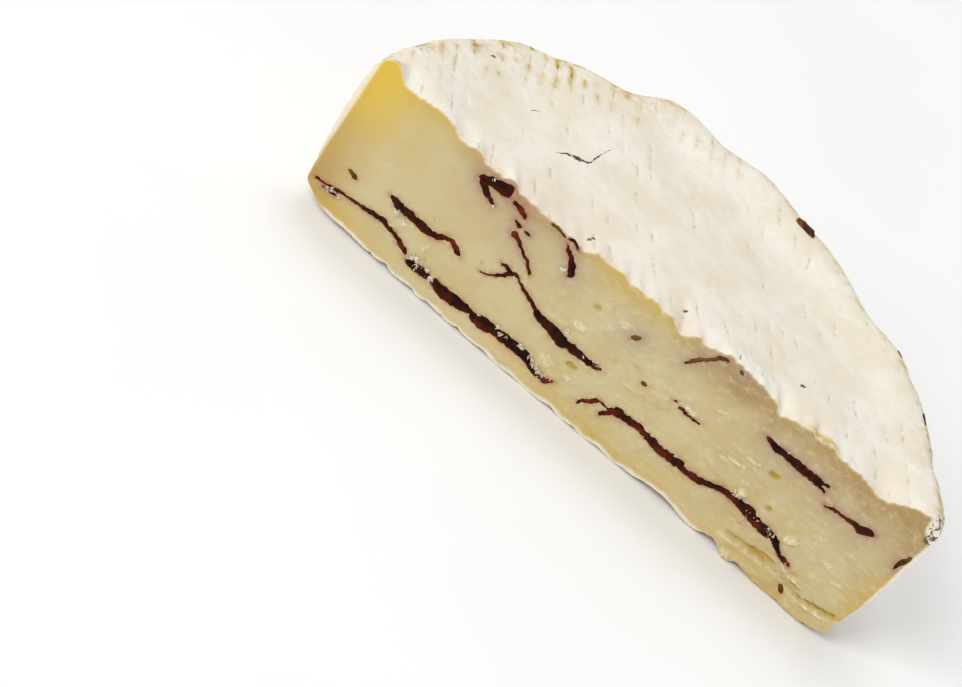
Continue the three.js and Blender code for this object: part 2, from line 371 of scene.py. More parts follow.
def add_node(
    tree: bpy.types.NodeTree,
    kind: str,
    inputs: Mapping[str | int, Any] | None = None,
    output: str | int = 0,
    **settings: Any,
) -> bpy.types.NodeSocket:
    """Adds a node with its settings and links.

    Args:
        tree: the node tree.
        kind: Blender's name of the node's type.
        inputs: for each input socket, a value to set or an output socket to link.
        output: the output socket that is wanted.
        settings: properties of the node.

    Returns:
        The wanted output socket.
    """
    node = tree.nodes.new(kind)
    for name, value in settings.items():
        setattr(node, name, value)
    for name, value in (inputs or {}).items():
        if isinstance(value, bpy.types.NodeSocket):
            tree.links.new(value, node.inputs[name])
        else:
            node.inputs[name].default_value = value
    return node.outputs[output]


def lumps(
    tree: bpy.types.NodeTree, size: float, stretch: Sequence[float], detail: float
) -> bpy.types.NodeSocket:
    """Noise over the object's own coordinates.

    Args:
        tree: the node tree.
        size: size of the lumps in millimetres.
        stretch: how much longer the lumps are along x, y and z.
        detail: how many finer octaves are added.

    Returns:
        The noise, 0 to 1 and about 0.5 in the mean.
    """
    place = add_node(tree, "ShaderNodeTexCoord", output="Object")
    scaled = add_node(tree, "ShaderNodeMapping", {"Vector": place, "Scale": [1.0 / s for s in stretch]})
    inputs = {"Vector": scaled, "Scale": 1.0 / (size * MM), "Detail": detail}
    return add_node(tree, "ShaderNodeTexNoise", inputs)


@dataclass(frozen=True)
class Coat:
    """A colour laid over those below it, where noise, a mark kept on the mesh and rows all let it show.

    Sizes are in millimetres. Rows are lines at the whole values of a number kept on the mesh.
    """

    colour: str
    mark: str = ""
    size: float = 0.0
    low: float = 0.38
    high: float = 0.64
    strength: float = 1.0
    stretch: tuple[float, float, float] = (1.0, 1.0, 1.0)
    rows: str = ""
    row_width: float = 0.16

    def share(self, tree: bpy.types.NodeTree) -> bpy.types.NodeSocket | float:
        """Adds the nodes that say where the coat shows.

        Args:
            tree: the material's node tree.

        Returns:
            How much of the coat shows, 0 to 1, as an output socket or one number.
        """
        shares: list[bpy.types.NodeSocket] = []
        if self.mark:
            shares.append(add_node(tree, "ShaderNodeAttribute", output="Fac", attribute_name=self.mark))
        if self.size:
            cloud = lumps(tree, self.size, self.stretch, FINE_DETAIL)
            limits = {0: cloud, 1: self.low, 2: self.high, 3: 0.0, 4: 1.0}
            shares.append(add_node(tree, "ShaderNodeMapRange", limits, interpolation_type="SMOOTHSTEP"))
        if self.rows:
            row = add_node(tree, "ShaderNodeAttribute", output="Fac", attribute_name=self.rows)
            apart = add_node(tree, "ShaderNodeMath", {0: row, 1: 0.5}, operation="PINGPONG")
            limits = {0: apart, 1: 0.0, 2: self.row_width, 3: 1.0, 4: 0.0}
            shares.append(add_node(tree, "ShaderNodeMapRange", limits, interpolation_type="SMOOTHSTEP"))
        total: bpy.types.NodeSocket | float = self.strength
        for share in shares:
            total = add_node(tree, "ShaderNodeMath", {0: total, 1: share}, operation="MULTIPLY")
        return total


@dataclass(frozen=True)
class Finish:
    """A surface: its colours, its grain in millimetres, and how it takes light."""

    name: str
    base: str
    coats: tuple[Coat, ...]
    roughness: float
    rough_spread: float = 0.0
    specular: float = 0.5
    ior: float = 1.45
    grain: float = 0.0
    grain_depth: float = 0.0
    grain_stretch: tuple[float, float, float] = (1.0, 1.0, 1.0)
    glow: float = 0.0
    glow_depth: float = 0.0
    sheen: float = 0.0

    def build(self) -> bpy.types.Material:
        """Makes the material.

        Returns:
            The material, with its coats mixed in order.
        """
        material = bpy.data.materials.new(self.name)
        material.use_nodes = True
        tree = material.node_tree
        shader = tree.nodes["Principled BSDF"]
        colour: Any = linear(self.base)
        for coat in self.coats:
            layers = {0: coat.share(tree), 6: colour, 7: linear(coat.colour)}
            colour = add_node(tree, "ShaderNodeMix", layers, 2, data_type="RGBA")
        tree.links.new(colour, shader.inputs["Base Color"])
        shader.inputs["Roughness"].default_value = self.roughness
        if self.rough_spread:
            cloud = lumps(tree, 4.0 * self.grain, self.grain_stretch, GLOSS_DETAIL)
            low, high = self.roughness - self.rough_spread, self.roughness + self.rough_spread
            gloss = add_node(tree, "ShaderNodeMapRange", {0: cloud, 1: 0.3, 2: 0.7, 3: low, 4: high})
            tree.links.new(gloss, shader.inputs["Roughness"])
        if self.grain:
            height = lumps(tree, self.grain, self.grain_stretch, FINE_DETAIL)
            bumps = {"Height": height, "Strength": 1.0, "Distance": self.grain_depth * MM}
            tree.links.new(add_node(tree, "ShaderNodeBump", bumps), shader.inputs["Normal"])
        shader.inputs["IOR"].default_value = self.ior
        shader.inputs["Specular IOR Level"].default_value = self.specular
        shader.inputs["Sheen Weight"].default_value = self.sheen
        shader.inputs["Subsurface Weight"].default_value = self.glow
        shader.inputs["Subsurface Radius"].default_value = (1.0, 0.7, 0.35)
        shader.inputs["Subsurface Scale"].default_value = max(self.glow_depth, 0.05) * MM
        return material


# White mould grown over the cheese and patted down: chalky and matt, a warm white that is stained along the
# marks of the draining mat and browner at the rim. Painted shade darkens the side, its creases and a thin
# line along the rim's edge at the right.
BLOOMY_RIND = Finish(
    name="bloomy_rind_patted",
    base="#f0ebdf",
    coats=(
        Coat("#e9e0cd", size=9.0),
        # Painted shade: the side below the top face is darker, as if less light reaches it.
        Coat("#dfcdb8", mark="side_shade", size=5.0, low=0.2, high=0.6, strength=0.8),
        Coat("#e3d8c2", size=1.7, low=0.5, high=0.75, strength=0.5),
        Coat(
            "#b9af97", mark="dash", rows="mat_row", row_width=0.15, size=1.4, low=0.4, high=0.62, strength=0.6
        ),
        # Painted shade: the side's creases are darker.
        Coat("#bfae93", mark="crease", size=3.0, low=0.35, high=0.6, strength=0.8),
        Coat("#d3b673", mark="stain", size=1.3, low=0.36, high=0.6),
        Coat("#cdae62", mark="rim_dash", rows="mat_row", row_width=0.42, size=1.2, low=0.15, high=0.5),
        Coat("#92743c", mark="rim_dash", rows="mat_row", row_width=0.12, size=1.1, low=0.42, high=0.6),
        # Real brown stains at the rim, plus a painted shade line along the rim's edge at the right.
        Coat("#8e6b3a", mark="deep_stain_and_edge_shade", size=0.9, low=0.42, high=0.62),
        Coat("#988d7c", mark="soot", size=1.4, low=0.4, high=0.65),
        Coat("#3d3023", mark="mould", size=0.75, low=0.48, high=0.56, strength=0.92),
        Coat("#cdb274", mark="bare", size=0.8, low=0.25, high=0.5),
    ),
    roughness=0.92,
    specular=0.3,
    ior=1.4,
    grain=0.35,
    grain_depth=0.05,
    sheen=0.05,
)

# Soft paste cut through: moist and waxy, ivory in the core, golden where it ripens under the rind, tinged by
# the filling, and crumbly where the knife tore it. Painted shade browns it under the rind's top edge and
# turns the torn ledge's hollows golden, and a painted highlight whitens the ledge's crests.
RIPENED_PASTE = Finish(
    name="ripened_paste_sliced",
    base="#cabd90",
    coats=(
        Coat("#c8b584", size=7.0),
        Coat("#c8a63e", mark="ripe"),
        # Browner paste that also paints the shade under the rind's top edge and beside the rind thread.
        Coat("#a98c56", mark="tan"),
        Coat("#d8b640", mark="corner"),
        Coat("#a48d7a", mark="halo"),
        Coat("#a2593f", mark="bleed", size=1.1, low=0.3, high=0.6),
        Coat("#d9cda4", mark="coarse", size=1.1, low=0.5, high=0.75, strength=0.36, stretch=(1.5, 1.0, 1.0)),
        Coat("#b59c62", mark="coarse", size=1.6, low=0.54, high=0.8, strength=0.5, stretch=(1.4, 1.0, 1.0)),
        # Whiter smeared and torn paste, with a painted highlight on the torn ledge's crest and fold crests.
        Coat("#e4dab8", mark="pale", size=0.45, low=0.3, high=0.6, strength=0.9),
        Coat("#b0963a", mark="pit", size=1.2, low=0.1, high=0.5),
        # Golden paste in the grooves and fold valleys of the torn ledge, which also paints their shade.
        Coat("#c6a338", mark="gold", size=1.4, low=0.1, high=0.4, strength=0.8),
        Coat("#ece4d0", mark="rind_line"),
        Coat("#3d3023", mark="mould", size=0.75, low=0.48, high=0.56, strength=0.92),
    ),
    roughness=0.5,
    rough_spread=0.1,
    grain=0.4,
    grain_depth=0.05,
    grain_stretch=(1.6, 1.0, 1.0),
    glow=0.25,
    glow_depth=1.2,
)

# Slices of filling steeped in the paste: nearly black, leathery and damp, red-brown at thin edges.
MOIST_FILLING = Finish(
    name="filling_steeped",
    base="#1a0703",
    coats=(
        Coat("#3b1404", size=1.6),
        Coat("#732413", mark="thin", size=0.9, low=0.25, high=0.55),
        Coat("#7a5914", mark="veil", size=0.9, low=0.2, high=0.5),
    ),
    roughness=0.45,
    rough_spread=0.12,
    specular=0.12,
    ior=1.38,
    grain=0.4,
    grain_depth=0.14,
    grain_stretch=(1.8, 1.0, 1.0),
)

# Filling that dried in the air on the rind: brown, leathery and dull.
DRIED_FILLING = Finish(
    name="filling_air_dried",
    base="#3a1a0b",
    coats=(Coat("#77431f", size=1.2),),
    roughness=0.62,
    specular=0.3,
    ior=1.42,
    grain=0.5,
    grain_depth=0.12,
)

# Dust and spores in cracks of the bloom: grey-brown and quite matt.
CRACK_DUST = Finish(
    name="bloom_cracked",
    base="#7d7464",
    coats=(Coat("#453d33", size=0.9),),
    roughness=0.9,
    specular=0.2,
    grain=0.3,
    grain_depth=0.03,
)

# Crumbs of paste rolled up by the knife: whiter than the paste, and softly shining. A few heaps of the same
# white flecks sit on the slices as painted highlights.
CURD_CRUMB_AND_GLINT = Finish(
    name="curd_crumbled_and_glint",
    base="#e6dcc4",
    coats=(Coat("#cbbd92", size=0.6),),
    roughness=0.5,
    grain=0.2,
    grain_depth=0.03,
    glow=0.2,
    glow_depth=0.4,
)

# White studio paper laid flat: matt, with hardly any tone of its own.
STUDIO_PAPER = Finish(
    name="studio_paper_laid",
    base="#fdfdfd",
    coats=(Coat("#fafafa", size=90.0),),
    roughness=0.95,
    specular=0.1,
)


# The form of the wheel


@dataclass(frozen=True)
class Mark:
    """An oval mark on the cut face: its middle, half length and height, lift out of the cut, and slope."""

    x: float
    z: float
    length: float
    height: float
    lift: float
    slope: float = 0.0

    def reach(self, x: Array, z: Array) -> Array:
        """How near points are to the mark's middle.

        Args:
            x: the points' places along the cut.
            z: their heights.

        Returns:
            1 in the middle of the mark, falling to 0 at about twice its half size.
        """
        turn = math.radians(self.slope)
        along = (x - self.x) * math.cos(turn) + (z - self.z) * math.sin(turn)
        across = (z - self.z) * math.cos(turn) - (x - self.x) * math.sin(turn)
        return np.exp(-((along / self.length) ** 2) - (across / self.height) ** 2)


@dataclass(frozen=True)
class WheelForm:
    """The wheel's surfaces as formulas: rim, top, side, base and cut, with their relief.

    Swells on the rim hold an angle in degrees, a lift and a spread, and those on the top x, y, lift and
    spread. The edges hold x and z of the cut face's outline, which the marks of the draining mat scallop.
    The paste turns from smooth to torn between the two places along the cut that are named coarse.
    """

    radius: float = 58.4
    height: float = 27.9
    rim_lift: float = 2.2
    rim_lift_width: float = 7.0
    shoulder_in: float = 3.4
    shoulder_down: float = 2.8
    side_lean: float = 2.2
    side_bulge: float = 0.7
    foot_in: float = 6.0
    foot_up: float = 3.8
    foot_varies: float = 0.3
    foot_swell: float = 0.35
    swell_rise: float = 0.25
    mat_pitch: float = 2.9
    mat_across: tuple[float, float] = (0.928, 0.372)
    mat_depth: float = 0.16
    mat_dash: float = 4.5
    row_apart: float = 1.73
    base_depth: float = 0.35
    edge_fade: float = 4.0
    edge_ragged: float = 0.28
    cut_bow: float = 0.3
    cut_bow_length: float = 17.0
    ledge_proud: float = 0.9
    ledge_ramp: float = 3.0
    ledge_saddle: float = 45.4
    ledge_saddle_width: float = 2.3
    ledge_saddle_dip: float = 0.65
    coarse_from: float = -34.0
    coarse_to: float = -2.0
    coarse_least: float = 0.12
    mark_edge: tuple[float, float] = (0.3, 0.6)
    pits_torn: float = 0.5
    grooves_torn: float = 0.3
    smears_torn: float = 1.0
    rim_swells: tuple[tuple[float, float, float], ...] = (
        (0, 1.4, 8), (18, -1.2, 6), (29, -1.8, 11), (41, -0.9, 6), (57, -2.6, 9), (88, 1.9, 6),
        (106, 3.3, 7), (117, -0.9, 6), (134, -0.7, 4), (140, 0.7, 6), (180, 0.9, 10),
    )
    ledge_top: tuple[tuple[float, float], ...] = (
        (31.5, 2.8), (33.6, 3.7), (37.7, 4.0), (40.5, 4.2), (42.6, 4.6), (45.0, 4.1), (49.3, 3.4),
        (51.9, 3.8), (55.6, 4.5), (57.0, 4.9),
    )
    top_swells: tuple[tuple[float, float, float, float], ...] = (
        (17, 0, 1.3, 7), (-46, 2, 0.9, 5), (-19, 4, -1.0, 10), (36, 8, 0.6, 9), (-24, 34, 0.7, 11),
        (14, 36, -0.6, 12),
    )
    top_edge: tuple[tuple[float, float], ...] = (
        (-56.0, 30.5), (-54.6, 29.4), (-53.0, 28.1), (-50.5, 28.4), (-48.0, 28.8), (-45.0, 28.9),
        (-43.2, 28.5), (-41.5, 27.6), (-40.0, 27.2), (-38.4, 27.4), (-37.2, 28.2), (-35.8, 27.2),
        (-34.0, 27.0), (-31.5, 27.1), (-29.6, 28.2), (-28.2, 27.1), (-26.0, 26.8), (-24.0, 27.0),
        (-22.0, 26.7), (-20.0, 27.1), (-18.0, 26.6), (-16.0, 27.1), (-14.0, 26.3), (-12.4, 27.4),
        (-10.4, 27.9), (-8.6, 27.3), (-6.2, 28.0), (-4.6, 27.2), (-3.0, 27.8), (-1.6, 27.3), (0.2, 27.9),
        (2.0, 27.5), (3.8, 27.8), (5.6, 27.1), (6.9, 25.8), (8.2, 27.3), (9.5, 28.0), (11.0, 27.4),
        (12.6, 28.3), (14.2, 28.9), (15.8, 29.5), (17.4, 29.0), (19.0, 29.3), (21.0, 28.8), (22.2, 29.2),
        (24.0, 28.3), (25.8, 28.3), (27.5, 26.3), (28.8, 27.3), (30.2, 28.0), (31.8, 28.0), (33.4, 28.7),
        (35.0, 27.6), (36.6, 28.5), (38.2, 28.5), (39.4, 27.8), (41.0, 28.1), (42.6, 27.7), (44.4, 28.0),
        (46.2, 27.5), (48.0, 27.0), (49.6, 27.2), (51.2, 28.5), (53.0, 29.1), (54.6, 30.1), (56.4, 30.5),
    )
    base_edge: tuple[tuple[float, float], ...] = (
        (-49.0, 0.9), (-46.0, 1.0), (-43.0, 0.7), (-40.0, 0.5), (-37.5, 0.9), (-35.0, 0.3), (-32.5, 0.7),
        (-30.0, 0.2), (-27.0, 0.6), (-24.0, 0.15), (-21.5, 0.5), (-19.0, 0.2), (-16.0, 0.6),
        (-13.5, 0.0), (-10.0, 0.4), (-7.5, 0.0), (-4.0, 0.2), (-1.5, 0.6), (0.5, 0.0), (3.0, 0.4),
        (5.5, 0.0), (8.5, 0.5), (11.8, 0.0), (14.0, 0.5), (16.5, 0.7), (19.0, 1.2), (22.0, 1.3),
        (24.5, 0.9), (27.0, 0.3), (29.0, 0.2), (31.0, 0.9), (32.8, 1.6), (34.4, 0.8), (36.0, 0.0),
        (37.0, 0.2), (37.8, 1.2), (39.5, 0.8), (41.5, 0.1), (43.0, 0.4), (45.0, 0.0), (46.5, 0.4),
        (48.0, 0.0), (50.0, 0.3), (51.0, 0.0), (52.5, 0.6),
    )
    pits: tuple[Mark, ...] = (
        Mark(-3.3, 8.8, 1.2, 0.6, -0.4),
        Mark(33.4, 17.5, 1.3, 0.6, -0.45, 8),
        Mark(36.2, 12.2, 0.7, 0.5, -0.35),
        Mark(-6.3, 20.0, 0.9, 0.6, -0.3),
        Mark(34.4, 6.6, 0.5, 0.3, -0.25),
        Mark(-48.2, 15.4, 0.7, 0.2, -0.15, 25),
        Mark(-33.4, 18.2, 0.35, 0.3, -0.15),
        Mark(-25.4, 12.7, 0.5, 0.25, -0.2, -50),
    )
    grooves: tuple[Mark, ...] = (
        Mark(40.2, 4.75, 2.8, 0.6, -0.7, 6),
        Mark(35.4, 4.2, 2.2, 0.22, -0.3, 6),
        Mark(52.4, 4.05, 3.6, 0.2, -0.6, 11),
        Mark(55.4, 4.75, 0.9, 0.35, -0.4, 12),
        Mark(47.6, 4.45, 1.8, 0.16, -0.35, -6),
        Mark(46.4, 5.9, 1.0, 0.18, -0.2, 8),
    )
    smears: tuple[Mark, ...] = (
        Mark(42.4, 10.4, 1.6, 0.8, 0.5, 24),
        Mark(29.6, 17.1, 1.7, 0.4, 0.4, 6),
        Mark(-6.4, 15.4, 1.6, 0.7, 0.3, 10),
        Mark(-1.0, 20.9, 1.3, 0.8, 0.2, 30),
        Mark(-2.4, 19.0, 0.9, 0.5, 0.15, -20),
        Mark(16.0, 16.6, 1.8, 0.45, 0.4),
        Mark(12.2, 15.6, 0.9, 0.4, 0.2),
        Mark(27.6, 14.9, 1.9, 0.3, 0.3, 8),
        Mark(25.6, 13.9, 1.4, 0.3, 0.2),
        Mark(49.4, 11.6, 1.6, 0.5, 0.2, 14),
        Mark(31.4, 11.2, 1.0, 0.7, 0.5),
        Mark(45.6, 14.2, 1.2, 0.4, 0.2, 18),
        Mark(52.6, 9.6, 1.3, 0.4, 0.2, 20),
        Mark(-41.2, 9.4, 0.7, 0.5, 0.3, -20),
        Mark(-39.2, 8.8, 0.9, 0.5, 0.2),
        Mark(-34.0, 8.0, 0.5, 1.0, 0.2, -20),
        Mark(-7.2, 6.8, 1.6, 1.0, 0.2, -20),
        Mark(-2.6, 6.6, 0.8, 0.5, 0.2),
        Mark(53.0, 3.45, 2.8, 0.3, 0.35, 11),
        Mark(35.8, 0.9, 1.4, 0.8, 0.5, -20),
        Mark(47.4, 5.05, 1.9, 0.3, 0.35, -5),
        Mark(44.6, 5.6, 0.9, 0.3, 0.25, -20),
        Mark(20.4, 20.4, 1.1, 0.3, 0.2, 20),
        Mark(4.8, 12.6, 4.5, 0.15, 0.15, 6),
    )

    def rim(self, angle: Array) -> Array:
        """The uneven outline of the wheel.

        Args:
            angle: angles from +X in radians.

        Returns:
            The rim's radius at the top shoulder.
        """
        degrees = np.degrees(angle) % 360.0
        radius = np.full(np.shape(degrees), self.radius)
        for at, lift, spread in self.rim_swells:
            apart = np.abs(degrees - at)
            radius = radius + lift * bell(np.minimum(apart, 360.0 - apart), spread)
        return radius

    def plain_top(self, x: Array, y: Array) -> Array:
        """The top face, dished inside a raised rim.

        Args:
            x: places along the cut.
            y: distances behind the cut.

        Returns:
            The top face's height over the plan.
        """
        rim = self.rim(np.arctan2(y, x))
        from_shoulder = np.maximum(rim - np.hypot(x, y) - self.shoulder_in, 0.0)
        lift = self.rim_lift + self.swell_rise * (rim - self.radius)
        height = self.height + lift * bell(from_shoulder, self.rim_lift_width)
        for at_x, at_y, rise, spread in self.top_swells:
            height = height + rise * bell(np.hypot(x - at_x, y - at_y), spread)
        return height

    def edge_height(self, line: tuple[tuple[float, float], ...], x: Array) -> Array:
        """Returns the height of an edge of the cut face, slightly rounded at its points."""
        knots = np.array(line)
        return sum(np.interp(x + shift, knots[:, 0], knots[:, 1]) for shift in (-0.5, 0.0, 0.5)) / 3.0

    def top(self, x: Array, y: Array) -> Array:
        """The top face with the scallops of the cut's edge, which fade along the mat's marks.

        Args:
            x: places along the cut.
            y: distances behind the cut.

        Returns:
            The top face's height over the plan.
        """
        at_cut = x + y * self.mat_across[1] / self.mat_across[0]
        behind = np.maximum(y, 0.0)
        plain = self.plain_top(at_cut, np.zeros(np.shape(at_cut)))
        scallop = self.edge_height(self.top_edge, at_cut) - plain
        torn = flat_noise(at_cut, 0.0, 1.5, 13) + 1.1 * flat_noise(at_cut, 0.0, 0.75, 14)
        edge = scallop * bell(behind, self.edge_fade) + self.edge_ragged * torn * bell(behind, 1.0)
        return self.plain_top(x, y) + edge

    def mat_row(self, x: Array, y: Array) -> Array:
        """Returns a number that is whole along the middle of each mark of the draining mat."""
        wander = 0.22 * flat_noise(x, y, 13.0, 11) + 0.09 * flat_noise(x, y, 3.2, 16)
        return (x * self.mat_across[0] + y * self.mat_across[1]) / self.mat_pitch + wander

    def groove(self, x: Array, y: Array) -> Array:
        """Returns how deep a point of the plan lies in the marks of the mat, 0 to 1."""
        return (1.0 - np.abs(np.sin(np.pi * self.mat_row(x, y)))) ** 1.6 * self.dash(x, y)

    def dash(self, x: Array, y: Array) -> Array:
        """Where the mat pressed its marks in, in dashes of their own along each mark.

        Args:
            x: places along the cut.
            y: distances behind the cut.

        Returns:
            How deep the marks are, 0 to 1.
        """
        pressed = self.broken(x, y, self.mat_dash, 12)
        return smooth(0.1, 0.5, pressed + 0.4 * flat_noise(x, y, 17.0, 15))

    def broken(self, x: Array, y: Array, length: float, seed: int) -> Array:
        """Noise that runs along the marks of the mat and is another one on each mark.

        Args:
            x: places along the cut.
            y: distances behind the cut.
            length: length of its lumps in millimetres.
            seed: picks another pattern.

        Returns:
            Values of about -1 to 1.
        """
        along = y * self.mat_across[0] - x * self.mat_across[1]
        return flat_noise(self.row_apart * np.round(self.mat_row(x, y)), along / length, 1.0, seed)

    def crease(self, points: Array) -> Array:
        """Returns where the side's bloom is creased, 0 to 1: along lines that run mostly round the wheel."""
        bent = points + 0.8 * noise(points, 2.5, 26)[:, None]
        return np.maximum(1.0 - np.abs(noise(bent, (9.0, 9.0, 4.0), 24)) / 0.1, 0.0)

    def relief(self, points: Array, up: Array) -> Array:
        """The rind's fine relief.

        Args:
            points: N x 3 points on the smooth surface.
            up: N values, the z of each outward normal.

        Returns:
            N distances to move outwards.
        """
        x, y = points[:, 0], points[:, 1]
        top, base = smooth(0.35, 0.95, up), smooth(0.35, 0.95, -up)
        side = 1.0 - top - base
        groove = self.groove(x, y)
        large, small = noise(points, 6.5, 21), noise(points, (2.4, 2.4, 1.5), 22)
        fine = noise(points, 1.1, 23)
        near_cut = bell(np.maximum(y, 0.0), self.edge_fade)
        on_top = (1.0 - near_cut) * (0.16 * large - self.mat_depth * groove) + 0.06 * small + 0.03 * fine
        on_side = 0.28 * large - 0.3 * self.crease(points) + 0.14 * small + 0.05 * fine
        hollow = self.edge_height(self.base_edge, x) * near_cut + self.base_depth * groove
        on_base = -hollow - 0.06 * np.abs(small)
        return top * on_top + side * on_side + base * on_base

    def section(self, angle: Array, rows: tuple[int, int, int]) -> Array:
        """The side's sections from the base's edge, round the foot, up the side and over the shoulder.

        Args:
            angle: A angles from +X in radians.
            rows: steps on the foot, the side and the shoulder.

        Returns:
            A x R x 3 points with the rind's relief.
        """
        cosine, sine = np.cos(angle)[:, None], np.sin(angle)[:, None]
        rim = self.rim(angle)[:, None]
        foot = 1.0 - self.foot_varies * cosine
        base = self.radius + self.foot_swell * (rim - self.radius) - self.side_lean
        inner = rim - self.shoulder_in
        crest = self.top(inner * cosine, inner * sine)
        turn = np.linspace(0.0, math.pi / 2, rows[0] + 1)[None]
        share = np.linspace(0.0, 1.0, rows[1] + 1)[None, 1:-1]
        bend = np.linspace(0.0, math.pi / 2, rows[2] + 1)[None]
        low, high = self.foot_up * foot, crest - self.shoulder_down
        foot_out = base - self.foot_in * foot * (1.0 - np.sin(turn))
        side_out = base + (rim - base) * share + self.side_bulge * np.sin(math.pi * share)
        crest_out = inner + self.shoulder_in * np.cos(bend)
        out = np.concatenate([foot_out, side_out, crest_out], axis=1)
        foot_rise = low * (1.0 - np.cos(turn))
        side_rise = low + (high - low) * share
        crest_rise = high + self.shoulder_down * np.sin(bend)
        rise = np.concatenate([foot_rise, side_rise, crest_rise], axis=1)
        run_out, run_up = np.gradient(out, axis=1), np.gradient(rise, axis=1)
        length = np.hypot(run_out, run_up)
        face_out, face_up = run_up / length, -run_out / length
        face_out[:, [0, -1]], face_up[:, 0], face_up[:, -1] = 0.0, -1.0, 1.0
        points = np.stack([out * cosine, out * sine, rise], axis=-1)
        moved = self.relief(points.reshape(-1, 3), face_up.ravel()).reshape(out.shape)
        out, rise = out + moved * face_out, rise + moved * face_up
        return np.stack([out * cosine, out * sine, rise], axis=-1)

    def top_skin(self, x: Array, y: Array) -> Array:
        """Returns the top face's height with the rind's relief."""
        points = np.stack([x, y, self.top(x, y)], axis=-1)
        return points[:, 2] + self.relief(points, np.ones(len(points)))

    def base_skin(self, x: Array, y: Array) -> Array:
        """Returns the base's height, 0 where it rests and more in the marks of the mat."""
        points = np.stack([x, y, np.zeros(len(x))], axis=-1)
        return -self.relief(points, -np.ones(len(points)))

    def coarse(self, x: Array) -> Array:
        """Returns how crumbly the paste is along the cut: smooth on the left and torn on the right."""
        return self.coarse_least + (1.0 - self.coarse_least) * smooth(self.coarse_from, self.coarse_to, x)

    def ledge(self, x: Array, z: Array) -> tuple[Array, Array]:
        """The torn ledge along the lower right of the cut.

        Args:
            x: places along the cut.
            z: heights.

        Returns:
            Where the ledge stands proud of the cut, and where its crest is, both 0 to 1.
        """
        knots = np.array(self.ledge_top)
        ragged = 0.15 * flat_noise(x, 0.0, 2.2, 31) + 0.08 * flat_noise(x, 0.0, 0.8, 32)
        torn = np.interp(x, knots[:, 0], knots[:, 1]) + ragged
        saddle = 1.0 - self.ledge_saddle_dip * bell(x - self.ledge_saddle, self.ledge_saddle_width)
        begins = smooth(knots[0, 0], knots[0, 0] + self.ledge_ramp, x) * saddle
        swells = 0.35 + 0.65 * smooth(0.0, torn, z)
        return begins * swells * (1.0 - smooth(torn - 0.25, torn, z)), begins * bell(z - torn + 0.3, 0.16)

    def folds(self, x: Array, z: Array) -> Array:
        """Returns the long folds of the torn ledge, about -1 in their valleys and 1 on their crests."""
        return 1.5 * flat_noise(x - 0.5 * z, z - 0.07 * x, (6.0, 1.3), 30) + 0.3 * flat_noise(x, z, 0.8, 39)

    def flakes(self, x: Array, z: Array) -> Array:
        """Returns where thin flakes of paste stand up from the cut, 0 to 1."""
        return smooth(0.3, 0.5, flat_noise(x - 0.3 * z, z, (3.6, 1.4), 35) + 0.25 * flat_noise(x, z, 0.9, 38))

    def cut(self, x: Array, z: Array) -> Array:
        """The cut face with its bow, torn ledge, pits, grooves and smears.

        Args:
            x: places along the cut.
            z: heights.

        Returns:
            How far the cut face lies behind the cut plane.
        """
        bow = self.cut_bow * np.sin(x / self.cut_bow_length) * np.cos(z / self.cut_bow_length)
        proud, _ = self.ledge(x, z)
        folded = 0.3 * self.folds(x, z)
        drag = 0.13 * flat_noise(x + 0.4 * z, z, (5.0, 1.1), 33) + 0.06 * flat_noise(x, z, (1.6, 0.8), 34)
        depth = bow - proud * (self.ledge_proud + folded) + self.coarse(x) * (drag - 0.13 * self.flakes(x, z))
        for marks, torn in (
            (self.pits, self.pits_torn), (self.grooves, self.grooves_torn), (self.smears, self.smears_torn)
        ):
            crumbled = self.crumbled(x, z, torn)
            for mark in marks:
                depth = depth - mark.lift * smooth(*self.mark_edge, mark.reach(x, z) * crumbled)
        return depth

    def crumbled(self, x: Array, z: Array, torn: float) -> Array:
        """Returns an uneven number about 1 that breaks up the outline of a mark, as much as it is torn."""
        return 1.0 + torn * (0.45 * flat_noise(x, z, 0.9, 36) + 0.3 * flat_noise(x, z, 0.45, 37))

    def marked(self, marks: Sequence[Mark], x: Array, z: Array, torn: float, full: float = 0.1) -> Array:
        """Where some marks lie on the cut.

        Args:
            marks: the marks.
            x: places along the cut.
            z: heights.
            torn: how much their outlines are broken up.
            full: the lift or depth from which a mark counts in full.

        Returns:
            How much the marks show, 0 to 1.
        """
        crumbled = self.crumbled(x, z, torn)
        shares = []
        for mark in marks:
            weight = min(abs(mark.lift) / full, 1.0)
            shares.append(weight * smooth(*self.mark_edge, mark.reach(x, z) * crumbled))
        return np.clip(sum(shares), 0.0, 1.0)

    def pale(self, x: Array, z: Array) -> Array:
        """Where the cut is torn or smeared and so looks whiter, with a painted highlight along the torn
        ledge's crest and on its fold crests.

        Args:
            x: places along the cut.
            z: heights.

        Returns:
            How white it looks, 0 to 1.
        """
        proud, crest = self.ledge(x, z)
        # Lighter over the ledge and most on its fold crests: painted highlight.
        folded = proud * (0.15 + 0.4 * smooth(0.1, 0.6, self.folds(x, z)))
        loose = 0.16 * smooth(-30.0, 10.0, x) * self.flakes(x, z)
        smeared = 0.8 * self.marked(self.smears, x, z, 1.6, 0.28)
        # The crest term is a painted highlight along the torn ledge's edge.
        return np.clip(smeared + 0.6 * crest + folded + loose, 0.0, 1.0)

    def gold(self, x: Array, z: Array) -> Array:
        """Where the torn ledge shows golden paste in its grooves and fold valleys, a colour that also paints
        their shade.

        Args:
            x: places along the cut.
            z: heights.

        Returns:
            How golden it looks, 0 to 1.
        """
        proud, _ = self.ledge(x, z)
        # Golden in the fold valleys: painted shade.
        valleys = 0.35 * proud * smooth(0.15, 0.7, -self.folds(x, z))
        return np.maximum(self.marked(self.grooves, x, z, self.grooves_torn), valleys)


# The filling


Line = tuple[tuple[float, float, float], ...]  # x, z and thickness from end to end


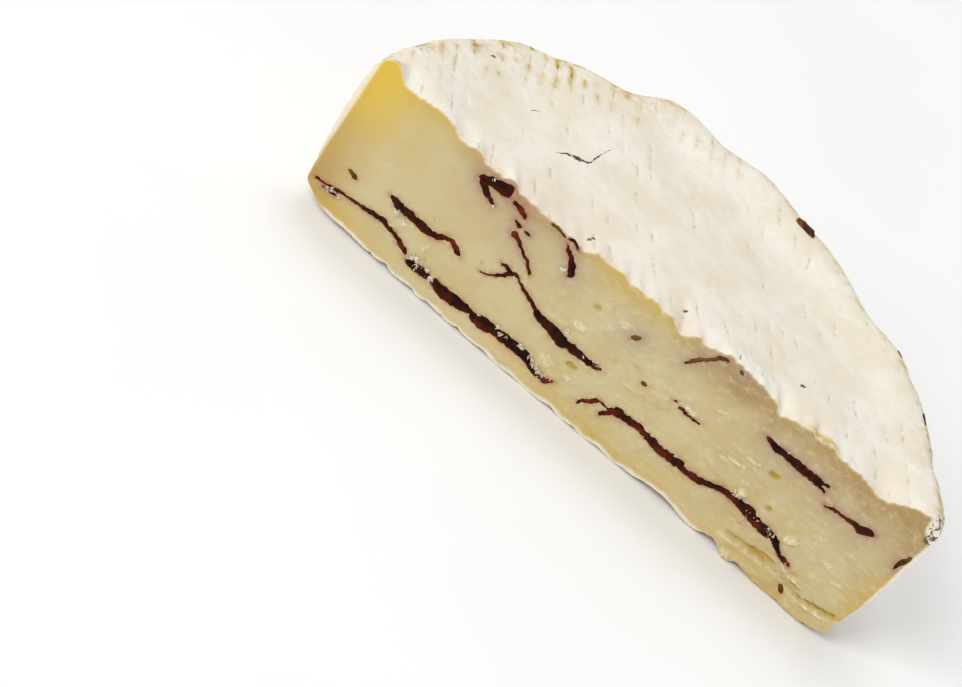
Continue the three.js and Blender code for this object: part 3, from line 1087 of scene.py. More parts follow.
@dataclass(frozen=True)
class FillingSlice:
    """A slice of filling in the paste, along a line on the cut face, that runs back into the cheese.

    Notches, fine teeth and swells make its edges uneven, each by a strength and a length in millimetres. Its
    front domes out of the cut, and its edges there are sunk in the paste.
    """

    line: Line
    depth: float
    seed: int = 0
    ragged: float = 0.16
    proud: float = 0.2
    step: float = 0.15
    blunt: float = 0.25
    front_band: float = 1.2
    back_margin: float = 8.0
    back_taper: float = 0.5
    roof: float = 2.0
    across_steps: int = 6
    least_thickness: float = 0.15
    least_half: float = 0.06
    sunk: float = 0.12
    notches: tuple[float, float] = (0.8, 0.75)
    fine_teeth: tuple[float, float] = (0.5, 0.35)
    swells: tuple[float, float] = (0.9, 1.8)
    edge_rows: tuple[float, float] = (3.3, 9.7)

    def stations(self) -> Array:
        """The line as even steps.

        Returns:
            M x 3 values: x, z and thickness.
        """
        steps = smooth_line(self.line, self.step)
        steps[:, 2] = np.maximum(steps[:, 2], self.least_thickness)
        return steps

    def rings(self, form: WheelForm, grow: float = 0.0, front: float | None = None) -> Array:
        """The slice as rings, one for each step along its line.

        Args:
            form: the wheel that it lies in.
            grow: how much larger than the slice on every side, for a pocket.
            front: a flat front's y, or None for the slice's own domed front.

        Returns:
            R x K x 3 points.
        """
        steps = self.stations()
        run = unit_run(steps)
        x, z, thick = steps.T
        along = np.concatenate([[0.0], np.cumsum(np.hypot(np.diff(x), np.diff(z)))])
        rounded = np.sqrt(np.clip((np.minimum(along, along[-1] - along) + 0.04) / self.blunt, 0.0, 1.0))
        end = np.zeros(len(x))
        end[0], end[-1] = -grow, grow
        x, z = x + end * run[:, 0], z + end * run[:, 1]
        half = []
        for side in self.edge_rows:
            notches = np.tanh(3.0 * flat_noise(along, side, self.notches[1], self.seed))
            fine = flat_noise(along, side, self.fine_teeth[1], self.seed + 1)
            swells = flat_noise(along, side, self.swells[1], self.seed + 3)
            teeth = self.notches[0] * notches + self.fine_teeth[0] * fine + self.swells[0] * swells
            half.append(np.maximum((thick / 2 + self.ragged * teeth) * rounded, self.least_half) + grow)
        across = np.stack([-run[:, 1], run[:, 0]], axis=1)
        back = np.sqrt(np.maximum((form.radius - form.side_lean) ** 2 - x**2, 0.0)) - self.back_margin
        back = np.maximum(np.minimum(self.depth, back), 2.0 * self.front_band) + grow
        sink = np.minimum(form.plain_top(x, back) - self.roof - z, 0.0)
        ring = []
        for share in np.linspace(-1.0, 1.0, self.across_steps + 1):
            away = half[0] * share if share > 0 else half[1] * share
            px, pz = x + across[:, 0] * away, z + across[:, 1] * away
            if front is None:
                dome = (self.proud + self.sunk) * (1.0 - abs(share) ** 3)
                bumps = 0.75 + 0.55 * flat_noise(px, pz, 0.8, self.seed + 2)
                py = form.cut(px, pz) + self.sunk - dome * bumps
            else:
                py = np.full(len(px), front)
            ring.append(np.stack([px, py, pz], axis=1))
        band = np.full(len(x), self.front_band)
        far = self.back_taper
        corners = (
            (band, 0.0, half[0]),
            (back, sink, half[0] * far),
            (back, sink, -half[1] * far),
            (band, 0.0, -half[1]),
        )
        for depth, drop, away in corners:
            ring.append(np.stack([x + across[:, 0] * away, depth, z + drop + across[:, 1] * away], axis=1))
        return np.stack(ring, axis=1)

    def thin(self, points: Array) -> Array:
        """Where red light comes through: where the slice is thin, and along its lower edge.

        Args:
            points: N x 3 points in wheel coordinates.

        Returns:
            N values, 0 to 1.
        """
        steps = self.stations()
        run = unit_run(steps)
        nearest = np.hypot(points[:, :1] - steps[:, 0], points[:, 2:] - steps[:, 1]).argmin(axis=1)
        from_x, from_z = points[:, 0] - steps[nearest, 0], points[:, 2] - steps[nearest, 1]
        away = from_z * run[nearest, 0] - from_x * run[nearest, 1]
        lower = smooth(0.2, 0.9, -away / (steps[nearest, 2] / 2))
        patchy = np.clip(0.5 + 0.8 * noise(points, 2.6, self.seed + 5), 0.0, 1.0)
        slender = 1.0 - smooth(0.45, 1.1, steps[nearest, 2])
        return np.clip((0.75 * slender + 0.7 * lower) * patchy, 0.0, 1.0)


@dataclass(frozen=True)
class Filling:
    """All slices and flecks of filling that show on the cut face.

    Slices are kept by the name of the solid that each stands for, with their lines and depth. Reds and veils
    are places, as x, z and reach: at reds the filling is red all through, and at veils a film of paste lies
    over it.
    """

    form: WheelForm
    pocket_gap: float = 0.02
    pocket_front: float = -4.0
    fleck_depth: float = 1.6
    fleck_ragged: float = 0.07
    fleck_proud: float = 0.15
    first_seed: int = 100
    first_fleck_seed: int = 400
    veil_share: float = 0.75
    reds: tuple[tuple[float, float, float], ...] = (
        (-30.8, 11.8, 1.7), (-24.4, 20.4, 0.8), (-28.8, 24.5, 0.7), (2.4, 6.2, 1.6), (7.0, 6.4, 1.4),
        (-53.0, 4.8, 1.4), (-5.0, 3.4, 1.2), (-19.6, 3.2, 1.0), (-37.4, 4.9, 1.2), (0.2, 11.6, 1.0),
        (44.4, 6.5, 1.2), (46.3, 2.7, 0.7), (58.7, 22.4, 0.9), (12.0, 6.8, 1.9), (17.0, 6.3, 1.9),
        (23.0, 6.6, 1.7), (30.0, 8.2, 1.6), (36.0, 7.4, 1.6), (-26.0, 2.4, 1.1), (-18.0, 2.6, 1.2),
        (-26.0, 24.4, 1.0),
    )
    veils: tuple[tuple[float, float, float], ...] = (
        (12.6, 25.4, 4.0), (1.6, 20.4, 1.6), (18.1, 28.1, 1.2), (-20.0, 26.4, 1.4), (-51.9, 10.8, 2.0),
        (8.0, 15.5, 1.6), (47.4, 3.6, 1.7), (59.4, 21.4, 1.7),
    )

    def lines(self) -> dict[str, tuple[float, tuple[Line, ...]]]:
        """The slices on the cut.

        Returns:
            Each slice's depth and lines, by the name of its solid.
        """
        return {
            "slice_low_left": (24, (
                ((-55.3, 4.75, 0.4), (-53.0, 5.05, 0.55), (-50.5, 5.55, 0.6), (-48.0, 5.95, 0.55),
                 (-45.5, 6.3, 0.7), (-43.0, 6.65, 0.95), (-41.8, 6.75, 1.0), (-40.6, 6.45, 0.7),
                 (-39.4, 6.4, 0.85), (-38.4, 5.95, 0.9), (-37.2, 5.45, 0.95), (-36.4, 5.1, 0.9),
                 (-35.8, 4.8, 0.6)),
            )),
            "slice_low_middle": (46, (
                ((-35.4, 4.3, 0.7), (-34.6, 4.2, 1.3), (-33.5, 4.15, 1.4), (-32.4, 4.3, 1.5),
                 (-31.2, 4.2, 1.5), (-30.2, 4.35, 1.1), (-29.4, 4.4, 1.6), (-28.2, 4.05, 2.1),
                 (-27.0, 3.95, 2.3), (-25.5, 4.0, 2.2), (-24.0, 4.2, 1.9), (-22.5, 4.4, 1.5),
                 (-21.6, 4.45, 1.0), (-20.8, 4.2, 1.7), (-20.0, 4.2, 2.2), (-18.0, 4.4, 2.2),
                 (-16.5, 4.7, 1.7), (-15.0, 4.7, 1.8), (-13.0, 4.7, 1.9), (-11.0, 4.7, 1.9),
                 (-10.0, 4.6, 1.8), (-9.2, 4.15, 1.3), (-8.3, 3.8, 1.0), (-7.2, 3.55, 0.8),
                 (-6.0, 3.5, 0.9), (-5.0, 3.6, 0.9), (-4.4, 4.0, 0.5), (-4.0, 4.4, 0.25)),
            )),
            "slice_mid_left": (34, (
                ((-43.8, 11.2, 0.7), (-43.2, 11.1, 1.1), (-42.0, 10.85, 1.4), (-41.2, 10.7, 1.5),
                 (-39.8, 10.9, 1.5), (-38.0, 10.75, 1.2), (-36.5, 10.75, 1.4), (-35.0, 10.7, 1.4),
                 (-34.0, 10.9, 1.1), (-33.2, 11.4, 1.2), (-32.2, 12.0, 0.8), (-31.2, 12.1, 0.8),
                 (-30.4, 11.7, 1.0), (-29.6, 11.2, 0.9), (-28.9, 11.0, 0.5)),
            )),
            "slice_upper_tip": (8, (
                ((-27.9, 24.95, 0.6), (-26.8, 24.8, 0.9), (-25.8, 24.45, 0.95), (-24.9, 23.95, 0.6),
                 (-24.6, 23.7, 0.3)),
            )),
            "slice_upper_thread": (18, (
                ((-24.9, 20.6, 0.7), (-24.4, 20.5, 1.2), (-23.9, 20.25, 1.0), (-23.3, 20.1, 0.6),
                 (-22.8, 19.8, 0.7), (-22.3, 19.4, 0.35), (-21.5, 19.0, 0.45), (-20.0, 18.2, 0.5),
                 (-19.0, 17.3, 0.5), (-18.2, 16.6, 0.5)),
            )),
            "slice_centre": (44, (
                ((-24.8, 11.2, 0.25), (-24.0, 11.5, 0.4), (-23.0, 12.0, 0.5), (-22.0, 12.8, 0.6),
                 (-21.2, 13.8, 0.7), (-20.6, 14.6, 0.8), (-20.0, 15.0, 0.7), (-19.3, 14.9, 0.5),
                 (-18.4, 14.4, 0.5), (-17.3, 13.9, 0.65), (-16.0, 13.4, 0.6), (-14.8, 12.9, 0.7),
                 (-13.6, 12.5, 0.9), (-13.0, 12.0, 1.5), (-12.0, 11.8, 1.5), (-10.5, 11.6, 1.8),
                 (-9.0, 11.4, 2.1), (-8.0, 11.4, 2.3), (-7.0, 11.2, 2.2), (-6.2, 11.3, 1.6),
                 (-5.0, 11.4, 1.7), (-4.0, 11.4, 1.5), (-3.0, 11.35, 1.3), (-2.0, 11.3, 1.2),
                 (-1.0, 11.4, 0.9), (0.0, 11.6, 0.9), (0.8, 11.8, 0.4)),
                ((-22.9, 15.0, 0.5), (-22.0, 15.0, 0.8), (-21.1, 14.8, 0.9), (-20.4, 14.7, 0.7)),
            )),
            "slice_upper_middle": (14, (
                ((-16.7, 25.3, 0.4), (-16.0, 24.6, 0.7), (-15.0, 23.8, 0.8), (-14.2, 23.1, 1.0),
                 (-13.5, 22.2, 1.1), (-13.2, 21.4, 1.1), (-13.4, 20.9, 0.6)),
            )),
            "slice_low_right": (46, (
                ((1.1, 4.2, 0.25), (1.7, 5.2, 0.5), (2.3, 5.8, 0.8), (3.0, 6.4, 0.85), (3.6, 7.0, 0.7),
                 (4.2, 7.25, 0.4), (4.8, 7.25, 0.2), (5.4, 7.15, 0.3), (5.9, 7.1, 0.8), (6.6, 7.3, 1.2),
                 (7.5, 7.6, 1.5), (9.0, 7.8, 1.6), (10.5, 8.05, 1.4), (12.0, 8.05, 1.2), (13.5, 7.8, 1.3),
                 (15.0, 7.6, 1.4), (16.5, 7.5, 1.6), (18.0, 7.55, 1.6), (19.5, 7.7, 1.8),
                 (20.3, 7.85, 1.8), (21.0, 7.5, 1.2), (22.2, 7.55, 1.1), (23.4, 7.75, 1.3),
                 (24.5, 7.8, 1.2), (25.8, 8.3, 1.1), (27.0, 8.9, 1.1), (28.2, 9.35, 1.3), (29.5, 9.4, 1.3),
                 (31.0, 9.35, 1.4), (32.5, 9.4, 1.7), (34.0, 9.4, 2.1), (35.5, 8.9, 1.9), (37.0, 8.8, 2.0),
                 (38.5, 8.7, 1.8), (39.8, 8.75, 1.4), (40.6, 8.3, 1.1), (41.6, 7.6, 1.0), (42.6, 7.1, 0.9),
                 (43.6, 6.9, 0.8), (44.4, 6.7, 0.8), (44.9, 6.5, 0.5)),
                ((5.0, 5.3, 0.6), (5.5, 5.9, 0.95), (6.1, 6.6, 1.0), (6.8, 7.3, 0.9)),
                ((6.5, 7.8, 0.5), (7.0, 8.4, 0.4), (7.5, 8.55, 0.35), (8.0, 8.6, 0.2)),
            )),
            "slice_rind_thread": (12, (
                ((10.1, 22.7, 0.35), (10.8, 23.6, 0.6), (11.6, 24.8, 0.75), (12.6, 25.8, 0.65),
                 (13.6, 27.0, 0.65), (14.2, 27.7, 0.75), (14.9, 28.0, 0.8), (15.5, 28.1, 0.5)),
            )),
            "slice_short": (10, (
                ((14.2, 15.6, 0.45), (15.0, 15.75, 0.6), (16.5, 15.7, 0.4), (18.0, 15.7, 0.35),
                 (18.7, 15.75, 0.25)),
            )),
            "slice_upper_right": (30, (
                ((28.1, 22.1, 0.5), (29.2, 21.95, 0.9), (30.4, 21.75, 1.4), (32.0, 21.8, 1.5),
                 (34.0, 21.75, 1.6), (36.0, 21.8, 1.6), (38.0, 21.9, 1.5), (39.4, 22.0, 1.4),
                 (40.0, 22.25, 0.8), (41.2, 22.5, 0.4)),
                ((38.8, 21.8, 0.8), (39.8, 21.5, 0.6), (40.6, 21.25, 0.5), (41.2, 21.1, 0.35)),
            )),
            "slice_right": (22, (
                ((42.4, 19.3, 0.4), (43.3, 19.55, 0.6), (44.5, 19.95, 0.5), (45.6, 20.0, 0.4),
                 (46.8, 20.15, 0.6), (48.0, 20.35, 0.9), (49.2, 20.3, 1.6), (50.3, 20.6, 1.5),
                 (51.2, 20.9, 1.2), (51.8, 21.0, 0.6)),
            )),
            "fleck_left": (5, (
                ((-51.9, 9.8, 0.35), (-51.2, 9.7, 0.7), (-50.4, 9.55, 0.7), (-49.7, 9.4, 0.3)),
            )),
            "slice_folded": (16, (
                ((-34.8, 24.3, 0.3), (-33.8, 24.7, 1.2), (-32.0, 25.2, 2.0), (-30.6, 25.5, 2.4),
                 (-29.4, 25.65, 2.5), (-28.8, 25.7, 2.4)),
                ((-34.4, 24.1, 0.4), (-33.4, 23.6, 1.0), (-32.3, 23.0, 1.1), (-31.2, 22.5, 0.8),
                 (-30.4, 22.15, 0.5), (-29.8, 21.9, 0.3)),
            )),
        }

    def fleck_lines(self) -> tuple[Line, ...]:
        """The small flecks on the cut.

        Returns:
            The line of each fleck.
        """
        return (
            ((-53.6, 4.3, 0.3), (-52.2, 4.4, 0.5), (-51.0, 4.55, 0.5), (-50.2, 4.9, 0.3)),
            ((-25.7, 22.5, 0.4), (-25.2, 22.35, 0.6), (-24.5, 22.2, 0.8), (-24.2, 22.3, 0.4)),
            ((-23.4, 22.1, 0.3), (-22.8, 22.05, 0.5), (-22.2, 21.95, 0.3)),
            ((-20.9, 26.3, 0.4), (-19.7, 26.4, 0.6), (-18.6, 26.2, 0.35), (-17.7, 26.0, 0.25)),
            ((-17.2, 26.2, 0.3), (-16.4, 26.5, 0.5), (-15.5, 26.3, 0.5), (-14.8, 25.8, 0.35)),
            ((0.9, 19.8, 0.6), (1.6, 20.4, 0.9), (2.3, 21.0, 0.5)),
            ((6.9, 15.0, 0.4), (7.4, 14.9, 0.75), (8.1, 14.95, 0.3)),
            ((12.8, 16.15, 0.25), (13.2, 16.25, 0.4), (13.5, 16.3, 0.25)),
            ((45.8, 3.3, 0.6), (46.3, 2.7, 1.05), (46.9, 2.05, 0.6)),
            ((17.7, 28.2, 0.4), (18.1, 28.1, 0.6), (18.6, 27.9, 0.3)),
            ((58.7, 22.4, 0.5), (58.3, 21.2, 0.9), (57.9, 20.1, 0.8), (57.7, 18.7, 0.3)),
        )

    def slices(self) -> dict[str, list[FillingSlice]]:
        """Makes the slices and flecks from their lines.

        Returns:
            The slices by name, and the flecks under an empty name.
        """
        made: dict[str, list[FillingSlice]] = {}
        for number, (name, (depth, lines)) in enumerate(self.lines().items()):
            seed = self.first_seed + 10 * number
            made[name] = [FillingSlice(line, depth, seed + i) for i, line in enumerate(lines)]
        made[""] = [
            FillingSlice(line, self.fleck_depth, seed, ragged=self.fleck_ragged, proud=self.fleck_proud)
            for seed, line in enumerate(self.fleck_lines(), self.first_fleck_seed)
        ]
        return made

    def everything(self) -> list[FillingSlice]:
        """Returns every slice and fleck."""
        return [part for parts in self.slices().values() for part in parts]

    def pockets(self) -> list[bpy.types.Object]:
        """Returns the tools that cut the pockets for the slices and flecks out of the cheese."""
        rings = [part.rings(self.form, self.pocket_gap, self.pocket_front) for part in self.everything()]
        return [make_object("pocket", *skin(ring)) for ring in rings]

    def distance(self, points: Array, lowest: float = -1.0) -> Array:
        """How far points of the cut are from the filling.

        Args:
            points: N x 3 points in wheel coordinates.
            lowest: the height above which slices and flecks count.

        Returns:
            N distances, 0 inside the filling.
        """
        steps = np.concatenate([part.stations() for part in self.everything()])
        steps = steps[steps[:, 1] > lowest]
        nearest = np.zeros(len(points))
        for chunk in np.array_split(np.arange(len(points)), max(1, len(points) // CHUNK)):
            apart = np.hypot(points[chunk, :1] - steps[:, 0], points[chunk, 2:] - steps[:, 1])
            nearest[chunk] = (apart - steps[:, 2] / 2).min(axis=1)
        return np.maximum(nearest, 0.0)

    def near(self, places: Sequence[Sequence[float]], points: Array) -> Array:
        """Returns how near each point is to some places of the cut, 0 to 1."""
        near = [bell(np.hypot(points[:, 0] - x, points[:, 2] - z), reach) for x, z, reach in places]
        return np.max(near, axis=0)

    def build(self, moist: bpy.types.Material) -> list[bpy.types.Object]:
        """Builds the slices and the flecks.

        Args:
            moist: the filling's material.

        Returns:
            One object for each slice, and one for all flecks.
        """
        made = []
        for name, parts in self.slices().items():
            shells = [skin(part.rings(self.form)) for part in parts]
            if name:
                pieces = [make_object(name.replace("slice", "filling"), *shell) for shell in shells]
                combine(pieces[0], pieces[1:], "UNION")
                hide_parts(name)
            else:
                pieces = [make_object("filling_flecks", *merged(shells))]
            points = wheel_points(pieces[0].data)
            thin = np.min([part.thin(points) for part in parts], axis=0)
            store(pieces[0].data, "thin", np.maximum(thin, self.near(self.reds, points)))
            store(pieces[0].data, "veil", self.veil_share * self.near(self.veils, points))
            made.append(join(pieces[0], moist))
        return made


# The cheese


Tints = tuple[tuple[float, float, float, float], ...]  # x, z, strength and spread on the cut


def tinted(tints: Tints, x: Array, z: Array) -> Array:
    """Returns how strongly some tints colour the cut at each point, added up."""
    shares = [share * bell(np.hypot(x - at_x, z - at_z), spread) for at_x, at_z, share, spread in tints]
    return sum(shares)


@dataclass(frozen=True)
class CheeseBody:
    """The cheese itself: its rind and its cut face in one closed mesh, with pockets for the filling.

    The tints of the cut are places, as x, z, strength and spread. Places round the rim are angles from +X and
    spreads, in degrees.
    """

    form: WheelForm
    filling: Filling
    top_spacing: float = 0.5
    side_spacing: float = 0.55
    base_spacing: float = 0.9
    cut_spacing: float = 0.36
    section_rows: tuple[int, int, int] = (12, 38, 11)
    crease_angle: float = 42.0
    stained_rear: tuple[float, float] = (134.0, 30.0)
    # Where a painted shade line runs along the rim's edge: its angle and spread.
    rim_edge_shade: tuple[float, float] = (25.0, 12.0)
    mouldy_end: tuple[float, float] = (0.0, 5.0)
    rim_dash_length: float = 3.0
    rim_dash_reach: tuple[float, float] = (5.0, 12.5)
    bared_at: float = 35.4
    bared_half: float = 2.8
    halo_above: float = 19.0
    halo_reach: float = 2.4
    bleed_reach: float = 0.45
    ripe_tints: Tints = ((-50.0, 24.0, 0.25, 6.0), (-48.5, 2.5, 0.25, 4.0))
    corner_tints: Tints = ((-56.5, 28.0, 1.0, 6.0), (-55.0, 20.0, 0.35, 5.0))
    # Browner spots that paint shade near the rind's top edge and beside the rind thread.
    tan_and_shade_tints: Tints = (
        (57.0, 25.5, 0.7, 4.5), (20.0, 25.9, 0.85, 3.3), (44.0, 24.0, 0.2, 6.0), (15.0, 24.4, 0.4, 2.6),
        (-54.5, 6.5, 0.35, 3.5),
    )
    blush_tints: Tints = ((-25.6, 25.4, 0.3, 2.4), (-15.0, 25.0, 0.15, 2.0), (45.5, 4.6, 0.2, 2.0))

    def build(self, rind: bpy.types.Material, paste: bpy.types.Material) -> bpy.types.Object:
        """Builds the cheese.

        Args:
            rind: the rind's material.
            paste: the paste's material.

        Returns:
            The cheese's object.
        """
        points, faces, kinds = self.shell()
        cheese = make_object("cheese_body", points, faces)
        cheese.data.polygons.foreach_set("material_index", kinds)
        pockets = self.filling.pockets()
        for piece in [cheese, *pockets]:
            piece.data.materials.append(rind)
            piece.data.materials.append(paste)
        for pocket in pockets:
            pocket.data.polygons.foreach_set("material_index", [Face.PASTE.value] * len(pocket.data.polygons))
        combine(cheese, pockets, "DIFFERENCE")
        points = wheel_points(cheese.data)
        self.mark_rind(cheese.data, points)
        self.mark_paste(cheese.data, points)
        cheese.data.set_sharp_from_angle(angle=math.radians(self.crease_angle))
        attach(cheese, BODY)
        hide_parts("cheese_half")
        return cheese

    def shell(self) -> tuple[Array, list[list[int]], list[int]]:
        """The closed skin of the half wheel.

        Returns:
            The points, the faces and each face's kind.
        """
        form = self.form
        turns = int(math.pi * form.radius / self.side_spacing)
        band = form.section(np.linspace(0.0, math.pi, turns + 1), self.section_rows)
        for end in (0, -1):
            band[end, :, 1] = form.cut(band[end, :, 0], band[end, :, 2])
        top_edge = self.front_edge(band[-1, -1], band[0, -1], form.top_skin)
        base_edge = self.front_edge(band[-1, 0], band[0, 0], form.base_skin)
        number = np.arange(band.shape[0] * band.shape[1]).reshape(band.shape[:2])
        quads = np.stack([number[:-1, :-1], number[1:, :-1], number[1:, 1:], number[:-1, 1:]], axis=-1)
        patches = [(band.reshape(-1, 3), quads.reshape(-1, 4).tolist(), Face.RIND)]
        loop = np.concatenate([band[:, -1], top_edge])
        inner, triangles = fill_patch(loop[:, :2], self.top_spacing, 1)
        raised = np.column_stack([inner, form.top_skin(*inner.T)])
        patches.append((np.concatenate([loop, raised]), triangles.tolist(), Face.RIND))
        loop = np.concatenate([band[:, 0], base_edge])
        inner, triangles = fill_patch(loop[:, :2], self.base_spacing, 2)
        raised = np.column_stack([inner, form.base_skin(*inner.T)])
        patches.append((np.concatenate([loop, raised]), triangles[:, ::-1].tolist(), Face.RIND))
        loop = np.concatenate([base_edge, band[0], top_edge[::-1], band[-1, ::-1]])
        inner, triangles = fill_patch(loop[:, [0, 2]], self.cut_spacing, 3)
        pressed = np.column_stack([inner[:, 0], form.cut(*inner.T), inner[:, 1]])
        patches.append((np.concatenate([loop, pressed]), triangles.tolist(), Face.PASTE))
        points, faces = merged([patch[:2] for patch in patches])
        kinds = [kind.value for _, patch_faces, kind in patches for _ in patch_faces]
        _, first, same = np.unique(np.round(points, 4), axis=0, return_index=True, return_inverse=True)
        same = same.ravel()
        return points[first], [[same[corner] for corner in face] for face in faces], kinds

    def front_edge(self, left: Array, right: Array, height: Callable[[Array, Array], Array]) -> Array:
        """The cut face's top or bottom edge between its ends.

        Args:
            left: the edge's left end.
            right: its right end.
            height: the top's or the base's height over the plan.

        Returns:
            N x 3 points from left to right, without the ends.
        """
        count = int((right[0] - left[0]) / self.cut_spacing)
        x = np.linspace(left[0], right[0], count + 1)[1:-1]
        y = self.form.cut(x, height(x, np.zeros(len(x))))
        z = height(x, y)
        return np.column_stack([x, self.form.cut(x, z), z])

    def mark_rind(self, mesh: bpy.types.Mesh, points: Array) -> None:
        """Keeps on the mesh where the rind is marked, stained, sooty, mouldy or torn off, and where shade is
        painted.

        Args:
            mesh: the cheese's mesh.
            points: its vertices in wheel coordinates.
        """
        form = self.form
        x, y, z = points.T
        angle = np.degrees(np.arctan2(np.maximum(y, 0.0), x))
        from_rim = form.rim(np.radians(angle)) - np.hypot(x, y)
        store(mesh, "mat_row", form.mat_row(x, y))
        high = smooth(form.height - 4.0, form.height - 1.0, z)
        on_top = high * smooth(0.3, 2.0, from_rim)
        store(mesh, "dash", form.dash(x, y) * on_top)
        # Painted shade: darker on the side, below the top face.
        store(mesh, "side_shade", 1.0 - smooth(form.height - 3.0, form.height + 1.0, z))
        rear_left = bell(angle - self.stained_rear[0], self.stained_rear[1])
        broken = smooth(-0.05, 0.3, form.broken(x, y, self.rim_dash_length, 45))
        dash = broken * (1.0 - smooth(*self.rim_dash_reach, from_rim)) * on_top * (0.05 + 0.95 * rear_left)
        store(mesh, "rim_dash", dash)
        patchy = smooth(-0.15, 0.25, flat_noise(angle, from_rim, (4.0, 3.0), 41))
        line = bell(from_rim - 1.2, 1.8) * high
        spread = bell(np.maximum(from_rim - 2.0, 0.0), 5.0) * high * (0.3 + 0.7 * rear_left)
        store(mesh, "stain", np.clip((0.75 * line + 0.6 * spread) * (0.2 + 0.8 * patchy), 0.0, 1.0))
        spots = smooth(0.25, 0.5, noise(points, 3.6, 42))
        # Painted shade: a dark line along the rim's edge at the right, added to the real stains.
        edge_shade = bell(angle - self.rim_edge_shade[0], self.rim_edge_shade[1]) * bell(from_rim - 0.6, 0.9)
        edge_shade = edge_shade * smooth(0.0, 0.3, noise(points, 2.0, 46)) * high
        store(mesh, "deep_stain_and_edge_shade", np.clip(spots * (0.6 * line + 0.5 * dash) + 0.7 * edge_shade, 0.0, 0.8))
        side = 1.0 - smooth(form.height - 5.0, form.height - 2.5, z)
        store(mesh, "soot", 0.6 * side * smooth(0.34, 0.6, noise(points, (5.0, 5.0, 3.5), 43)))
        # Painted shade in the side's creases.
        store(mesh, "crease", side * form.crease(points))
        at_end = bell(angle - self.mouldy_end[0], self.mouldy_end[1])
        at_end = at_end * bell(np.maximum(from_rim - 0.8, 0.0), 1.4) * bell(z - form.height - 0.8, 2.6)
        store(mesh, "mould", smooth(0.2, 0.5, at_end + 0.2 * noise(points, 2.2, 44)))
        torn = bell(x - self.bared_at, self.bared_half) * bell(np.maximum(y - 0.6, 0.0), 1.1)
        store(mesh, "bare", np.clip(1.6 * torn * high, 0.0, 1.0))

    def mark_paste(self, mesh: bpy.types.Mesh, points: Array) -> None:
        """Keeps on the mesh where the paste is ripe, browner, bled on, smeared or holed, its rind edges, and
        painted shade and highlight.

        Args:
            mesh: the cheese's mesh.
            points: its vertices in wheel coordinates.
        """
        form = self.form
        x, _, z = points.T
        zero = np.zeros(len(x))
        below_top = form.top(x, zero) - z
        above_base = z - form.edge_height(form.base_edge, x)
        out = np.where(x > 0, form.rim(zero), form.rim(zero + math.pi))
        from_side = out - form.side_lean * (1.0 - z / form.height) - np.abs(x)
        wander = 0.8 * flat_noise(x, z, 5.0, 51)
        nearest = np.minimum(np.minimum(below_top + 1.0, above_base), from_side) + wander
        left = smooth(28.0, 54.0, -x) * (1.0 - smooth(3.0, 11.0, from_side))
        paler_foot = 0.5 * bell(x + 32.0, 14.0) * bell(z, 6.0)
        under_rind = 0.75 * (1.0 - smooth(-0.5, 5.5, nearest)) * (1.0 - paler_foot)
        under_rind = under_rind * (1.0 + 0.35 * bell(x + 4.0, 12.0) * smooth(14.0, 22.0, z))
        proud, _ = form.ledge(x, z)
        ripe = np.maximum(under_rind * (1.0 - 0.6 * proud), 0.3 * proud) + 0.3 * left
        store(mesh, "ripe", np.clip(ripe + tinted(self.ripe_tints, x, z), 0.0, 1.0))
        store(mesh, "corner", np.clip(tinted(self.corner_tints, x, z), 0.0, 1.0))
        # Painted shade: the paste turns browner just under the rind's top edge and at the tan and shade
        # tints.
        tan = (1.0 - smooth(1.0, 6.0, below_top + wander)) * smooth(-46.0, -32.0, x)
        tan = tan * (0.1 + 0.55 * smooth(8.0, 18.0, np.abs(x + 6.0))) + 0.12 * smooth(10.0, 30.0, x)
        left_end = 0.35 * smooth(48.0, 56.0, -x) * (1.0 - smooth(15.0, 22.0, z))
        tan = tan + left_end + tinted(self.tan_and_shade_tints, x, z)
        store(mesh, "tan", np.clip(tan * (1.0 - 0.9 * proud), 0.0, 1.0))
        store(mesh, "halo", 0.6 * np.exp(-self.filling.distance(points, self.halo_above) / self.halo_reach))
        blush = tinted(self.blush_tints, x, z)
        tinged = 0.7 * np.exp(-self.filling.distance(points) / self.bleed_reach)
        veiled = self.filling.near(self.filling.veils, points)
        store(mesh, "bleed", np.clip(tinged * (1.0 - 0.9 * veiled) + blush, 0.0, 1.0))
        store(mesh, "coarse", form.coarse(x))
        # Partly painted highlight on the torn ledge.
        store(mesh, "pale", form.pale(x, z))
        store(mesh, "pit", form.marked(form.pits, x, z, form.pits_torn, 0.45))
        # Partly painted shade in the ledge's grooves and fold valleys.
        store(mesh, "gold", form.gold(x, z))
        width = np.where(x < -45.0, 1.1, 0.5)
        at_side = 1.0 - smooth(0.3, 1.0, (from_side - 0.2 * wander) / width)
        uneven_base = above_base + 0.25 * flat_noise(x, z, 1.6, 53)
        at_base = (1.0 - smooth(0.3, 0.9, uneven_base)) * (1.0 - smooth(29.0, 33.0, x))
        at_top = 0.6 * (1.0 - smooth(0.1, 0.45, below_top))
        from_corner = np.hypot(x - 60.4, 0.8 * (z - 30.4)) + 0.4 * flat_noise(x, z, 1.2, 52)
        at_corner = 1.0 - smooth(3.3, 3.8, from_corner)
        pale_foot = 0.25 * bell(x + 22.0, 20.0) + 0.2 * bell(x - 26.0, 10.0)
        at_foot = pale_foot * (1.0 - smooth(1.5, 4.5, above_base))
        lines = np.maximum(np.maximum(at_side, np.maximum(at_base, at_foot)), np.maximum(at_top, at_corner))
        store(mesh, "rind_line", 0.9 * lines)


